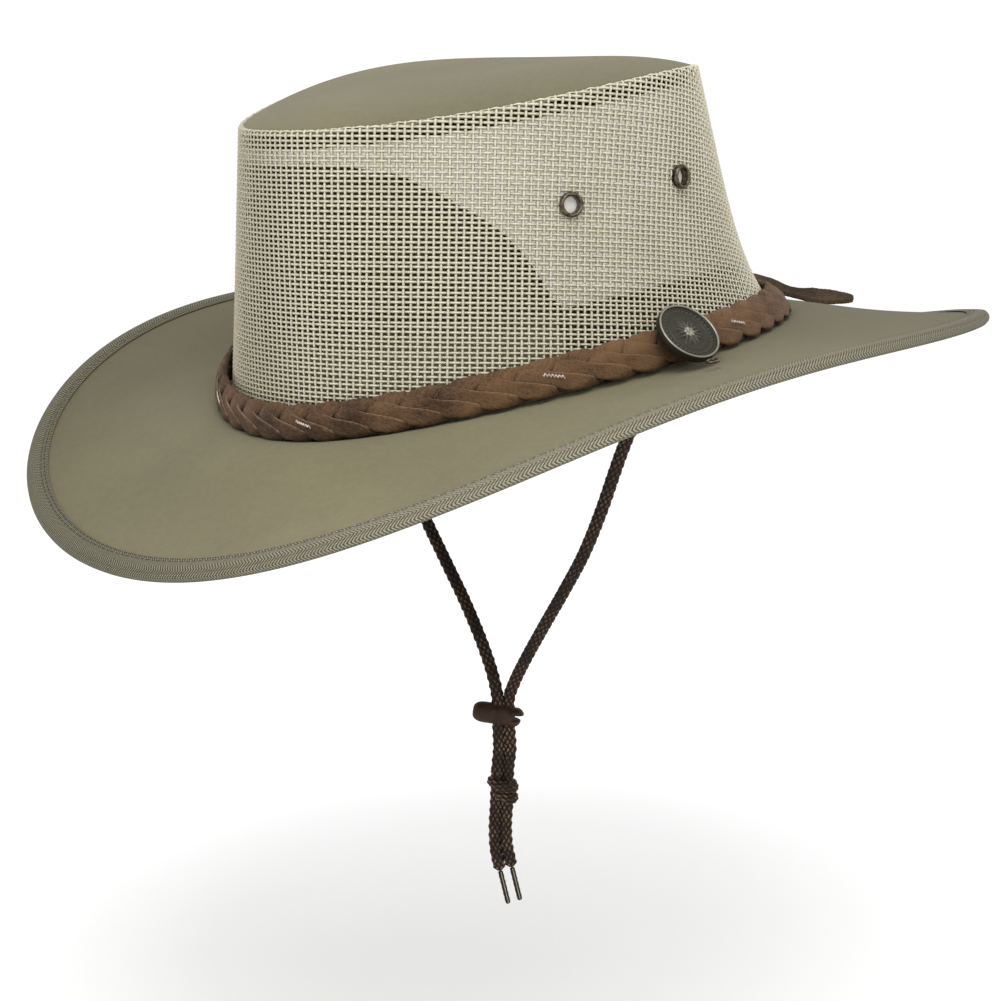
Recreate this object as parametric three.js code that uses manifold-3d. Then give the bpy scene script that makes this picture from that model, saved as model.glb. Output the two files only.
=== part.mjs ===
// A drover hat with a ventilated net crown, a canvas top and brim, a plaited suede band and a chin cord.
//
// The hat is drawn level in a group of its own, with its origin at the middle of the head opening,
// the front towards -Y and the wearer's left towards +X, and the group is then tipped as it is worn.
// The chin cord hangs plumb, so its pieces are outside that group.
// A bearing is the angle round the crown: 0 at the front, a quarter turn at the wearer's left.

import * as THREE from "three";
import { mergeVertices } from "three/addons/utils/BufferGeometryUtils.js";
import Module from "manifold-3d";

// Driving dimensions, in millimetres and degrees
const wornPitch = 9.5;
const gap = 0.3;
const stepsRound = 48;

const crown = {
  footHalfWidth: 90,
  footHalfLength: 106.1,
  topHalfWidth: 76.8,
  topHalfLength: 81,
  topForward: 11.1,
  topWiderBehind: 0.244,
  height: 94.9,
  flare: 5.5,
  flareBehind: 1.1,
  domeRise: 8.1,
  domePower: 4.65,
  domeShare: 0.96,
};
const brimPlan = {
  halfWidth: 159.3,
  halfLength: 180.3,
  squareness: 0.016,
  thickness: 2,
  rootHold: 2.5,
  rootPower: 4,
  rootGap: 0.5,
};

// How heights wave round the hat: the mean, then one wave round it, two waves, and so on
const heights = {
  foot: [1.1, 1.4, -5.2, -0.1, -0.6],
  seam: [crown.height, 1.6, -2.1, 1.3],
  brimEdge: [-7, 1.6, -20.1, -2, -1.05, 1.1],
};

// What lies one behind the other in the crown wall, from the net inwards
const layers = {
  net: { depth: 0, thickness: 1.4 },
  foreheadBand: { depth: 1.8, thickness: 1 },
  panel: { depth: 2.95, thickness: 1 },
  lining: { depth: 5.1, thickness: 1 },
  sweatband: { depth: 6.5, thickness: 1.4 },
};
const wallStations = [0, 0.1, 0.24, 0.5]; // shares of the wall's height that every layer bends at
const wallFoot = 2; // how far the wall reaches below the brim's upper face
const netTop = 0.978;
const liningTop = 0.95;
const rim = { halfWidth: 1.4, halfHeight: 1.6, depth: 1.2 };
const top = { thickness: 1.2, edgeDepth: 3.1, rings: [0.4, 0.7, 0.88, 1] };
const sweatband = { lift: 1.9, height: 30 };
const foreheadBand = { endBearing: 66.4, height: 26.5, riseInFront: 8, waves: 1.3, lean: 1.1 };

// The pale panel behind the net reaches down from under the top seam to this share of the wall
const panelTop = 0.95;
const panelFoot = [
  { bearing: 0, rise: 0.905 },
  { bearing: 18, rise: 0.905 },
  { bearing: 30, rise: 0.88 },
  { bearing: 41, rise: 0.84 },
  { bearing: 51, rise: 0.73 },
  { bearing: 57, rise: 0.64 },
  { bearing: 60.5, rise: 0.575 },
  { bearing: 63, rise: 0.5 },
  { bearing: 65, rise: 0.42 },
  { bearing: 66.5, rise: 0.33 },
  { bearing: 68, rise: 0.285 },
  { bearing: 90, rise: 0.275 },
  { bearing: 126, rise: 0.255 },
  { bearing: 180, rise: 0.25 },
];

const brimStations = [0.12, 0.3, 0.6]; // shares of the brim's width that its sheet bends at
const binding = { width: 8.5, thickness: 0.7, edgeDepth: 0.5, edgeShare: 0.75 };
const band = {
  halfWidth: 6.4,
  halfThickness: 2.5,
  scallops: 51,
  scallop: 0.5,
  standOff: 0.8,
  centreRise: 0.078,
  widerBehind: 1.1,
  lowerBehind: 0.016,
};
const bandTail = { width: 8.5, thickness: 2.4, widestAt: 0.35, taper: 0.94 };
// The middle line of the band's loose end, from the join at the back out over the brim
const bandTailRoute = [
  { x: 6, y: 111.6, above: 5 },
  { x: 11, y: 115.4, above: 4.4 },
  { x: 18.5, y: 120.2, above: 3.3 },
  { x: 26, y: 124.5, above: 2.5 },
  { x: 34, y: 128.5, above: 2.3 },
  { x: 42, y: 132, above: 2.6 },
  { x: 47, y: 134, above: 3 },
];

const eyelet = { bearingFromSide: 15, rise: 0.635, bore: 2.7, shank: 3.2, flange: 4.7, hole: 3.7 };
const eyeletSteps = 10;

const badge = { radius: 11.1, thickness: 3.4, rim: 0.9, recess: 0.5, bearing: 94, lean: 44.5 };
const badgeCentre = new THREE.Vector3(98.1, -6.1, 17.9);
const badgeLoop = { length: 7.5, width: 4.6, wire: 0.5, slope: 6, turn: 60 };
const badgeLoopCentre = new THREE.Vector3(109.6, -12.3, 12.6);

// The chin cord, in the upright frame
const cord = { diameter: 3.7, sides: 8, stepLength: 9.8, innerDepth: 8.6, innerDrop: 0.6, innerFrom: 97 };
const hangingLine = { x: -1.2, y: -2 }; // where the doubled cord hangs plumb
const facing = 48.6; // the toggle and the doubled cord are turned this far from the hat's side
const leftRoute = [
  { x: 81, y: 10.3, z: 6.6 },
  { x: 81, y: 5.5, z: 4.8 },
  { x: 80.5, y: 1.4, z: 1.2 },
  { x: 78.8, y: -1, z: -4 },
  { x: 75, y: -1.9, z: -9.4 },
  { x: 69.3, y: -2, z: -14.6 },
  { x: 64.4, y: -2, z: -20.4 },
  { x: 60.3, y: -2, z: -28 },
  { x: 56, y: -2, z: -37.4 },
  { x: 50.3, y: -2, z: -50.2 },
  { x: 41.6, y: -2, z: -66.9 },
  { x: 31.6, y: -2, z: -81.8 },
  { x: 20.4, y: -1.6, z: -97 },
  { x: 9.6, y: -0.8, z: -111.6 },
  { x: 3.2, y: -0.2, z: -121 },
];
const rightRoute = [
  { x: -81, y: 10.3, z: 6.6 },
  { x: -81, y: 5.5, z: 4.8 },
  { x: -80.5, y: 1.4, z: 1.2 },
  { x: -78.8, y: -1, z: -4 },
  { x: -75.4, y: -1.9, z: -10.4 },
  { x: -71.2, y: -2, z: -18.4 },
  { x: -66.4, y: -2, z: -29 },
  { x: -60.6, y: -2, z: -41.6 },
  { x: -53.8, y: -2, z: -54.4 },
  { x: -45.6, y: -2, z: -66.8 },
  { x: -35, y: -2, z: -80 },
  { x: -22.4, y: -2.3, z: -95 },
  { x: -11.4, y: -2.9, z: -109.8 },
  { x: -4.8, y: -3.6, z: -120.6 },
];
// The doubled cord through the toggle: how far each strand is from the middle line
const doubledRoute = [
  { aside: 2.1, z: -128 },
  { aside: 2.05, z: -134 },
  { aside: 2.3, z: -140.5 },
  { aside: 2.9, z: -147.5 },
  { aside: 2.3, z: -154.2 },
];
const leftEndRoute = [
  { aside: 1.2, z: -169.4 },
  { aside: 0.9, z: -177 },
  { aside: 1.5, z: -185.5 },
  { aside: 3.2, z: -193 },
];
const rightEndRoute = [
  { aside: -2.9, z: -169.4 },
  { aside: -3.4, z: -177 },
  { aside: -3.2, z: -185.5 },
  { aside: -1.4, z: -194.4 },
];
const knot = { z: -161.9, halfWidth: 6.3, halfDepth: 4.8, halfHeight: 6.4 };
const toggle = {
  z: -134.3,
  radius: 3.9,
  endRadius: 2.4,
  toFork: 7.2,
  toCap: 11.4,
  tilt: 7,
  slotLength: 9,
  slotWidth: 4.4,
  forkDepth: 3.4,
  forkWidth: 1.9,
};
const aglet = { radius: 1, length: 13.4, sides: 10, swing: 3.2 };

const finishes = {
  canvas: { color: 0x857e66, roughness: 0.85, metalness: 0 },
  netYarn: { color: 0xcbc5ab, roughness: 0.5, metalness: 0 },
  paleCloth: { color: 0xd2cdbd, roughness: 0.8, metalness: 0 },
  darkCloth: { color: 0x2f281c, roughness: 0.9, metalness: 0 },
  brownLeather: { color: 0x4a3a28, roughness: 0.6, metalness: 0 },
  tape: { color: 0x77725f, roughness: 0.8, metalness: 0 },
  suede: { color: 0x5a4535, roughness: 0.95, metalness: 0 },
  pewter: { color: 0x55524a, roughness: 0.45, metalness: 0.9 },
  nickel: { color: 0x8f887a, roughness: 0.35, metalness: 1 },
  cordBraid: { color: 0x2e2420, roughness: 0.7, metalness: 0 },
  brownPlastic: { color: 0x3a2418, roughness: 0.45, metalness: 0 },
};

const radians = THREE.MathUtils.degToRad;
const up = new THREE.Vector3(0, 0, 1);

// The hat's shape

// The height at a bearing: each listed size times the cosine of that many turns of the bearing
function waved(sizes, bearing) {
  return sizes.reduce((sum, size, turns) => sum + size * Math.cos(turns * bearing), 0);
}

// The level direction square to the foot's ellipse
function outward(bearing) {
  return new THREE.Vector3(
    Math.sin(bearing) * crown.footHalfLength,
    -Math.cos(bearing) * crown.footHalfWidth,
    0,
  ).normalize();
}

function foot(bearing) {
  return new THREE.Vector3(
    crown.footHalfWidth * Math.sin(bearing),
    -crown.footHalfLength * Math.cos(bearing),
    waved(heights.foot, bearing),
  );
}

// The top seam is an egg in plan, wider behind and set forward
function seam(bearing) {
  const wider = 1 - crown.topWiderBehind * Math.cos(bearing);
  return new THREE.Vector3(
    crown.topHalfWidth * Math.sin(bearing) * wider,
    -crown.topHalfLength * Math.cos(bearing) - crown.topForward,
    waved(heights.seam, bearing),
  );
}

// The wall runs straight from foot to seam, pulled in above a flared foot that is widest behind
function wall(bearing, rise, depth = 0) {
  const left = 1 - rise;
  const flare = crown.flare * (1 - crown.flareBehind * Math.cos(bearing));
  const pull = flare * (1 - left ** 4) * left;
  return foot(bearing)
    .lerp(seam(bearing), rise)
    .addScaledVector(outward(bearing), -(pull + depth));
}

function brimEdge(bearing) {
  const corner = 1 - brimPlan.squareness * Math.cos(4 * bearing);
  return new THREE.Vector3(
    brimPlan.halfWidth * Math.sin(bearing) * corner,
    -brimPlan.halfLength * Math.cos(bearing) * corner,
    waved(heights.brimEdge, bearing),
  );
}

function brimWidth(bearing) {
  return brimEdge(bearing).sub(foot(bearing)).setZ(0).length();
}

// The brim's middle sheet: straight lines in plan, with the height held near the root's at first
function brim(bearing, out, lift = 0) {
  const root = foot(bearing);
  const edge = brimEdge(bearing);
  const held = out - brimPlan.rootHold * out * (1 - out) ** brimPlan.rootPower;
  const point = root.clone().lerp(edge, out);
  point.z = root.z + (edge.z - root.z) * held + lift - (brimPlan.thickness / 2) * (1 - out);
  return point;
}

// The top of the crown: a flat oval with a slight dome that falls away close to the seam
function crownTop(bearing, out, drop = 0) {
  const edge = seam(bearing).addScaledVector(outward(bearing), -top.edgeDepth);
  const middle = new THREE.Vector3(0, -crown.topForward, crown.height);
  const point = middle.clone().lerp(edge, out);
  const level = edge.z * out ** 2 + crown.height * (1 - out ** 2);
  point.z = level + crown.domeRise * (1 - (out * crown.domeShare) ** crown.domePower) - drop;
  return point;
}

// Building closed solids

// A body through a row of closed outlines with as many points each. It closes on itself, or has flat ends.
function loft(outlines, closed) {
  const count = outlines[0].length;
  const points = outlines.flat();
  const faces = [];
  const bays = closed ? outlines.length : outlines.length - 1;
  for (let i = 0; i < bays; i++) {
    const here = i * count;
    const next = ((i + 1) % outlines.length) * count;
    for (let j = 0; j < count; j++) {
      const k = (j + 1) % count;
      faces.push([here + j, next + j, next + k], [here + j, next + k, here + k]);
    }
  }
  if (!closed) {
    for (const [end, turned] of [[0, false], [outlines.length - 1, true]]) {
      const middle = points.length;
      points.push(middleOf(outlines[end]));
      for (let j = 0; j < count; j++) {
        const pair = [end * count + j, end * count + ((j + 1) % count)];
        if (turned) pair.reverse();
        faces.push([middle, pair[0], pair[1]]);
      }
    }
  }
  return facingOut(points, faces);
}

function middleOf(points) {
  const sum = new THREE.Vector3();
  points.forEach((point) => sum.add(point));
  return sum.divideScalar(points.length);
}

// A geometry from points and triangles, turned round if its volume comes out negative
function facingOut(points, faces) {
  const volume = faces.reduce((sum, [a, b, c]) => {
    return sum + points[a].dot(points[b].clone().cross(points[c]));
  }, 0);
  const order = volume < 0 ? faces.map((face) => face.toReversed()) : faces;
  const geometry = new THREE.BufferGeometry().setFromPoints(points);
  geometry.setIndex(order.flat());
  geometry.computeVertexNormals();
  return geometry;
}

function bearingsRound(count, from = 0, to = 360) {
  const whole = to - from === 360;
  const steps = whole ? count : count + 1;
  return Array.from({ length: steps }, (_, i) => radians(from + ((to - from) * i) / count));
}

// A ring that goes right round the hat, with the outline that a function gives at each bearing
function ring(outlineAt, count = stepsRound) {
  return loft(bearingsRound(count).map(outlineAt), true);
}

// The outline of a sheet: its outer face at each station, then its inner face on the way back
function sheetOutline(stations, pointAt) {
  const outer = stations.map((station) => pointAt(station, 0));
  const inner = stations.map((station) => pointAt(station, 1)).reverse();
  return [...outer, ...inner];
}

function between(from, to, count) {
  return Array.from({ length: count + 1 }, (_, i) => from + ((to - from) * i) / count);
}

// Joining and cutting
const wasm = await Module();
wasm.setup();

function asSolid(geometry) {
  const plain = geometry.clone();
  plain.deleteAttribute("normal");
  plain.deleteAttribute("uv");
  const merged = mergeVertices(plain, 1e-4);
  const mesh = new wasm.Mesh({
    numProp: 3,
    vertProperties: new Float32Array(merged.attributes.position.array),
    triVerts: new Uint32Array(merged.index.array),
  });
  return new wasm.Manifold(mesh);
}

function asGeometry(solid) {
  const mesh = solid.getMesh();
  const geometry = new THREE.BufferGeometry();
  geometry.setAttribute("position", new THREE.BufferAttribute(mesh.vertProperties, 3));
  geometry.setIndex(new THREE.BufferAttribute(mesh.triVerts, 1));
  geometry.computeVertexNormals();
  return geometry;
}

function cutAway(geometry, cutters) {
  return asGeometry(cutters.reduce((left, cutter) => left.subtract(asSolid(cutter)), asSolid(geometry)));
}

// The matrix that stands an upright shape on a point with its +Y or +Z along a direction
function standing(point, direction, axis = new THREE.Vector3(0, 1, 0)) {
  const turn = new THREE.Quaternion().setFromUnitVectors(axis, direction);
  return new THREE.Matrix4().compose(point, turn, new THREE.Vector3(1, 1, 1));
}

const hat = new THREE.Group();
hat.rotation.x = radians(wornPitch);
const drover = new THREE.Group();
drover.add(hat);

function addPiece(name, geometry, finish, group = hat) {
  const mesh = new THREE.Mesh(geometry, new THREE.MeshStandardMaterial(finishes[finish]));
  mesh.name = name;
  group.add(mesh);
}

// The crown

// Stations from a lower end that moves up to an upper one, always as many: a common one that the
// lower end has passed is kept a small step above it
function stationsFrom(low, high, common) {
  const step = 0.004;
  return [low, ...common.map((rise, i) => Math.max(rise, low + (i + 1) * step)), high];
}

// A wall layer runs from its foot, straight below the first station, up to a share of the wall's height
function wallLayer(layer, topRise, lean = 0) {
  const stations = [-1, ...wallStations.filter((rise) => rise < topRise), topRise];
  return (bearing) =>
    sheetOutline(stations, (station, side) => {
      const rise = Math.max(station, 0);
      const point = wall(bearing, rise, layer.depth + side * layer.thickness + lean * rise);
      if (station < 0) point.z -= wallFoot;
      return point;
    });
}

function eyeletPlaces() {
  const places = [];
  for (const [side, sign] of [["left", 1], ["right", -1]]) {
    for (const [end, away] of [["front", -1], ["rear", 1]]) {
      const bearing = radians(sign * (90 + away * eyelet.bearingFromSide));
      const step = 0.02;
      const along = wall(bearing + step, eyelet.rise).sub(wall(bearing - step, eyelet.rise));
      const upward = wall(bearing, eyelet.rise + step).sub(wall(bearing, eyelet.rise - step));
      const normal = along.cross(upward).normalize();
      places.push({ name: `eyelet_${side}_${end}`, point: wall(bearing, eyelet.rise), normal });
    }
  }
  return places;
}

function crownNet() {
  const holes = eyeletPlaces().map(({ point, normal }) =>
    new THREE.CylinderGeometry(eyelet.hole, eyelet.hole, 8, 16).applyMatrix4(standing(point, normal)),
  );
  return cutAway(ring(wallLayer(layers.net, netTop)), holes);
}

// The net's folded edge stands up as a small round welt along the seam
function crownRim() {
  return ring((bearing) => {
    const middle = seam(bearing).addScaledVector(outward(bearing), -rim.depth);
    return bearingsRound(5).map((turn) =>
      middle
        .clone()
        .addScaledVector(outward(bearing), rim.halfWidth * Math.cos(turn))
        .addScaledVector(up, rim.halfHeight * Math.sin(turn)),
    );
  });
}

function crownTopSheet() {
  const bearings = bearingsRound(stepsRound);
  const { rings } = top;
  const points = [];
  const faces = [];
  for (const drop of [0, top.thickness]) {
    points.push(crownTop(0, 0, drop));
    rings.forEach((out) => bearings.forEach((bearing) => points.push(crownTop(bearing, out, drop))));
  }
  const perFace = points.length / 2;
  const at = (face, i, j) => face * perFace + 1 + i * stepsRound + (j % stepsRound);
  for (let j = 0; j < stepsRound; j++) {
    faces.push([0, at(0, 0, j), at(0, 0, j + 1)], [perFace, at(1, 0, j + 1), at(1, 0, j)]);
    for (let i = 0; i + 1 < rings.length; i++) {
      faces.push([at(0, i, j), at(0, i + 1, j), at(0, i + 1, j + 1)]);
      faces.push([at(0, i, j), at(0, i + 1, j + 1), at(0, i, j + 1)]);
      faces.push([at(1, i, j), at(1, i + 1, j + 1), at(1, i + 1, j)]);
      faces.push([at(1, i, j), at(1, i, j + 1), at(1, i + 1, j + 1)]);
    }
    const last = rings.length - 1;
    faces.push([at(0, last, j), at(1, last, j), at(1, last, j + 1)]);
    faces.push([at(0, last, j), at(1, last, j + 1), at(0, last, j + 1)]);
  }
  return facingOut(points, faces);
}

// The share of the wall where the panel's lower edge is, read between the rows of the table
function panelFootRise(degrees) {
  const after = panelFoot.findIndex((row) => row.bearing >= degrees);
  if (after <= 0) return panelFoot[0].rise;
  const [a, b] = [panelFoot[after - 1], panelFoot[after]];
  return THREE.MathUtils.mapLinear(degrees, a.bearing, b.bearing, a.rise, b.rise);
}

function palePanel() {
  const even = between(0, 180, stepsRound / 2);
  const steep = panelFoot.map((row) => row.bearing).filter((bearing) => bearing > 55 && bearing < 70);
  const half = [...new Set([...even, ...steep])].sort((a, b) => a - b);
  const whole = [...half, ...half.slice(1, -1).reverse().map((bearing) => -bearing)];
  const outlines = whole.map((degrees) => {
    const { depth, thickness } = layers.panel;
    return sheetOutline(stationsFrom(panelFootRise(Math.abs(degrees)), panelTop, [0.5]), (rise, side) =>
      wall(radians(degrees), rise, depth + side * thickness),
    );
  });
  return loft(outlines, true);
}

// The forehead band is tallest in front and leans in a little at its top
function foreheadBandStrip() {
  const { endBearing, height, riseInFront, waves, lean } = foreheadBand;
  const outlines = bearingsRound(22, -endBearing, endBearing).map((bearing) => {
    const topRise = (height + riseInFront * Math.cos(bearing * waves)) / crown.height;
    return wallLayer(layers.foreheadBand, topRise, lean / topRise)(bearing);
  });
  return loft(outlines, false);
}

function sweatbandRing() {
  const [low, high] = [sweatband.lift / crown.height, sweatband.height / crown.height];
  return ring((bearing) =>
    sheetOutline([low, 0.1, 0.24, high], (rise, side) =>
      wall(bearing, rise, layers.sweatband.depth + side * layers.sweatband.thickness),
    ),
  );
}

// The brim

function brimSheet() {
  return ring((bearing) => {
    const width = brimWidth(bearing);
    const taped = 1 - binding.width / width;
    const end = 1 - (binding.thickness + gap) / width;
    const stations = [brimPlan.rootGap / width, ...brimStations, taped, end];
    return sheetOutline(stations, (out, side) => brim(bearing, out, (0.5 - side) * brimPlan.thickness));
  });
}

// A tape folded over the brim's edge: an upper leg, a round fold and a lower leg
function brimBinding() {
  return ring((bearing) => {
    const width = brimWidth(bearing);
    const inner = brimPlan.thickness / 2 + 1.5 * gap;
    const outer = inner + binding.thickness;
    const from = 1 - binding.width / width;
    const fold = 1 - binding.thickness / width;
    const round = 1 - binding.edgeDepth / width;
    return [
      brim(bearing, from, outer),
      brim(bearing, round, outer * binding.edgeShare),
      brim(bearing, round, -outer * binding.edgeShare),
      brim(bearing, from, -outer),
      brim(bearing, from, -inner),
      brim(bearing, fold, -inner),
      brim(bearing, fold, inner),
      brim(bearing, from, inner),
    ];
  });
}

// The plaited band

// The plait leans on the wall and sits lowest behind. Its edges swell where the strands turn over.
function plaitedBand() {
  return ring((bearing) => {
    const low = wall(bearing, 0);
    const high = wall(bearing, 2 * band.centreRise);
    const along = high.clone().sub(low).normalize();
    const away = outward(bearing);
    away.addScaledVector(along, -away.dot(along)).normalize();
    const phase = band.scallops * bearing;
    const behind = ((1 - Math.cos(bearing)) / 2) ** 2;
    const halfWidth = band.halfWidth + band.widerBehind * behind;
    const middle = wall(bearing, band.centreRise - band.lowerBehind * behind);
    middle.addScaledVector(away, band.halfThickness + band.standOff);
    return bearingsRound(6).map((turn) => {
      const swell = band.scallop * Math.sin(turn) * Math.cos(phase);
      return middle
        .clone()
        .addScaledVector(along, (halfWidth + swell) * Math.sin(turn))
        .addScaledVector(away, (band.halfThickness + 0.3 * swell) * Math.cos(turn));
    });
  }, 2 * band.scallops);
}

// The band's loose end, a flat strip that lies out over the brim behind
function bandTailStrip() {
  const { width, thickness, widestAt, taper } = bandTail;
  const line = bandTailRoute.map(({ x, y, above }) => {
    const bearing = Math.atan2(x / crown.footHalfWidth, -y / crown.footHalfLength);
    const out = (Math.hypot(x, y) - foot(bearing).setZ(0).length()) / brimWidth(bearing);
    return new THREE.Vector3(x, y, brim(bearing, out, brimPlan.thickness / 2).z + above);
  });
  const curve = new THREE.CatmullRomCurve3(line);
  const outlines = between(0, 1, 8).map((share) => {
    const middle = curve.getPoint(share);
    const side = curve.getTangent(share).cross(up).normalize();
    const fromWidest = (taper * Math.abs(share - widestAt)) / (1 - widestAt);
    const narrowing = Math.sqrt(1 - fromWidest ** 2);
    return bearingsRound(6).map((turn) =>
      middle
        .clone()
        .addScaledVector(side, (width / 2) * narrowing * Math.cos(turn))
        .addScaledVector(up, (thickness / 2) * Math.sin(turn)),
    );
  });
  return loft(outlines, false);
}

// Metal fittings

// An eyelet is a short barrel with a rolled flange outside the net and a flat one inside
function eyeletRing() {
  const { bore, shank, flange } = eyelet;
  const profile = [
    [bore, -2.35],
    [flange - 0.4, -2.35],
    [flange - 0.4, -2.05],
    [shank, -2.05],
    [shank, gap + 0.2],
    [flange, gap + 0.4],
    [flange - 0.3, gap + 0.9],
    [shank + 0.2, gap + 1.3],
    [bore, -2.35],
  ].map(([radius, height]) => new THREE.Vector2(radius, height));
  return new THREE.LatheGeometry(profile, eyeletSteps);
}

function badgeDisc() {
  const { radius, thickness, rim: rimWidth, recess } = badge;
  const profile = [
    [0, 0],
    [radius - 0.8, 0],
    [radius, 0.9],
    [radius, thickness - 0.5],
    [radius - 0.4, thickness],
    [radius - rimWidth, thickness],
    [radius - rimWidth - 0.4, thickness - recess],
    [0, thickness - recess],
  ].map(([r, height]) => new THREE.Vector2(r, height));
  return new THREE.LatheGeometry(profile, 24);
}

function badgeNormal() {
  const level = new THREE.Vector3(Math.sin(radians(badge.bearing)), -Math.cos(radians(badge.bearing)), 0);
  const lean = radians(badge.lean);
  return level.multiplyScalar(Math.cos(lean)).addScaledVector(up, Math.sin(lean));
}

// A wire oval that lies on the brim at the badge's foot
function badgeLoopWire() {
  const { length, width, wire } = badgeLoop;
  const outlines = bearingsRound(14).map((turn) => {
    const away = new THREE.Vector3(Math.cos(turn), Math.sin(turn), 0);
    const middle = new THREE.Vector3((length / 2 - wire) * away.x, (width / 2 - wire) * away.y, 0);
    return bearingsRound(6).map((section) =>
      middle
        .clone()
        .addScaledVector(away, wire * Math.cos(section))
        .addScaledVector(up, wire * Math.sin(section)),
    );
  });
  return loft(outlines, true);
}

// The chin cord

function tube(route) {
  const path = new THREE.CatmullRomCurve3(route, false, "centripetal");
  const section = new THREE.Shape().absarc(0, 0, cord.diameter / 2, 0, 2 * Math.PI);
  return new THREE.ExtrudeGeometry(section, {
    extrudePath: path,
    steps: Math.ceil(path.getLength() / cord.stepLength),
    curveSegments: cord.sides / 2, // a whole circle takes two for each
    bevelEnabled: false,
  });
}

const acrossView = new THREE.Vector3(Math.cos(radians(facing)), Math.sin(radians(facing)), 0);

function besideLine({ aside, z }, sign = 1) {
  return new THREE.Vector3(hangingLine.x, hangingLine.y, z).addScaledVector(acrossView, sign * aside);
}

function strand(route, sign) {
  const free = route.map(({ x, y, z }) => new THREE.Vector3(x, y, z));
  return [...free, ...doubledRoute.map((row) => besideLine(row, sign))];
}

// The stretch inside the hat lies below the sweatband's edge, from side to side round the back
function innerRoute() {
  const bearings = bearingsRound(18, cord.innerFrom, 360 - cord.innerFrom);
  return bearings.map((bearing) => {
    const point = foot(bearing).addScaledVector(outward(bearing), -cord.innerDepth);
    point.z -= cord.innerDrop;
    return point.applyEuler(hat.rotation);
  });
}

// A rounded lump in place of the knot's turns
function knotLump() {
  const { halfWidth, halfDepth, halfHeight, z } = knot;
  return new THREE.SphereGeometry(1, 12, 8)
    .scale(halfWidth, halfHeight, halfDepth)
    .rotateX(Math.PI / 2)
    .rotateZ(radians(facing))
    .translate(hangingLine.x, hangingLine.y, z);
}

// A barrel with a round cap at one end and a fork at the other, and a slot that both strands pass
function toggleBarrel() {
  const { radius, endRadius, toFork, toCap, slotLength, slotWidth, forkDepth, forkWidth, tilt, z } = toggle;
  const profile = [
    [0, -toCap],
    [endRadius, -toCap],
    [radius, -toCap + 2.2],
    [radius, toFork - 2],
    [endRadius + 0.6, toFork],
    [0, toFork],
  ].map(([r, length]) => new THREE.Vector2(r, length));
  const barrel = new THREE.LatheGeometry(profile, 16).rotateZ(-Math.PI / 2);
  const slot = new THREE.BoxGeometry(slotLength, slotWidth, 4 * radius).rotateY(radians(-tilt));
  const fork = new THREE.BoxGeometry(2 * forkDepth, 4 * radius, forkWidth).translate(toFork, 0, 0);
  return cutAway(barrel, [slot, fork])
    .rotateY(radians(tilt))
    .rotateZ(radians(facing))
    .translate(hangingLine.x, hangingLine.y, z);
}

// A metal tip that hangs on from the end of a strand
function cordTip(route) {
  const end = besideLine(route.at(-1));
  const swing = new THREE.Vector3().addScaledVector(acrossView, aglet.swing).setZ(-aglet.length).normalize();
  const middle = end.clone().addScaledVector(swing, aglet.length / 2 + gap + 0.2);
  return new THREE.CylinderGeometry(aglet.radius, aglet.radius, aglet.length, aglet.sides).applyMatrix4(
    standing(middle, swing),
  );
}

// The hat's pieces
addPiece("crown_net", crownNet(), "netYarn");
addPiece("crown_rim", crownRim(), "netYarn");
addPiece("crown_top", crownTopSheet(), "canvas");
addPiece("crown_panel", palePanel(), "paleCloth");
addPiece("forehead_band", foreheadBandStrip(), "canvas");
addPiece("crown_lining", ring(wallLayer(layers.lining, liningTop)), "darkCloth");
addPiece("sweatband", sweatbandRing(), "brownLeather");
addPiece("brim", brimSheet(), "canvas");
addPiece("brim_binding", brimBinding(), "tape");
addPiece("hat_band", plaitedBand(), "suede");
addPiece("band_tail", bandTailStrip(), "suede");
for (const { name, point, normal } of eyeletPlaces()) {
  addPiece(name, eyeletRing().applyMatrix4(standing(point, normal)), "nickel");
}
const badgeBack = badgeCentre.clone().addScaledVector(badgeNormal(), -badge.thickness);
addPiece("badge", badgeDisc().applyMatrix4(standing(badgeBack, badgeNormal())), "pewter");
addPiece(
  "badge_loop",
  badgeLoopWire()
    .rotateY(radians(-badgeLoop.slope))
    .rotateZ(radians(-badgeLoop.turn))
    .translate(...badgeLoopCentre),
  "nickel",
);

// The chin cord's pieces
addPiece("chin_cord_inner", tube(innerRoute()), "cordBraid", drover);
addPiece("chin_cord_left", tube(strand(leftRoute, 1)), "cordBraid", drover);
addPiece("chin_cord_right", tube(strand(rightRoute, -1)), "cordBraid", drover);
addPiece("cord_toggle", toggleBarrel(), "brownPlastic", drover);
addPiece("cord_knot", knotLump(), "cordBraid", drover);
addPiece("cord_end_left", tube(leftEndRoute.map((row) => besideLine(row))), "cordBraid", drover);
addPiece("cord_end_right", tube(rightEndRoute.map((row) => besideLine(row))), "cordBraid", drover);
addPiece("aglet_left", cordTip(leftEndRoute), "pewter", drover);
addPiece("aglet_right", cordTip(rightEndRoute), "pewter", drover);

export default drover;
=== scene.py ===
# %% [markdown]
# # A drover hat, dressed over its imported model
# The imported model gives the hat's solids in metres, with +Z up, the front of the hat towards -Y and
# the wearer's left towards +X. This lesson builds what the eye sees over those solids: a crown of
# woven net, canvas for its top and the brim, a taped edge, a plaited suede band, metal fittings and
# a braided chin cord.
#
# The imported model is loaded first: its meshes are set in place and all else it brings is removed.
# The dressed hat has to stay inside it.

# %% Open the imported model
import math

import bpy
import numpy as np
from mathutils import Matrix


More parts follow.
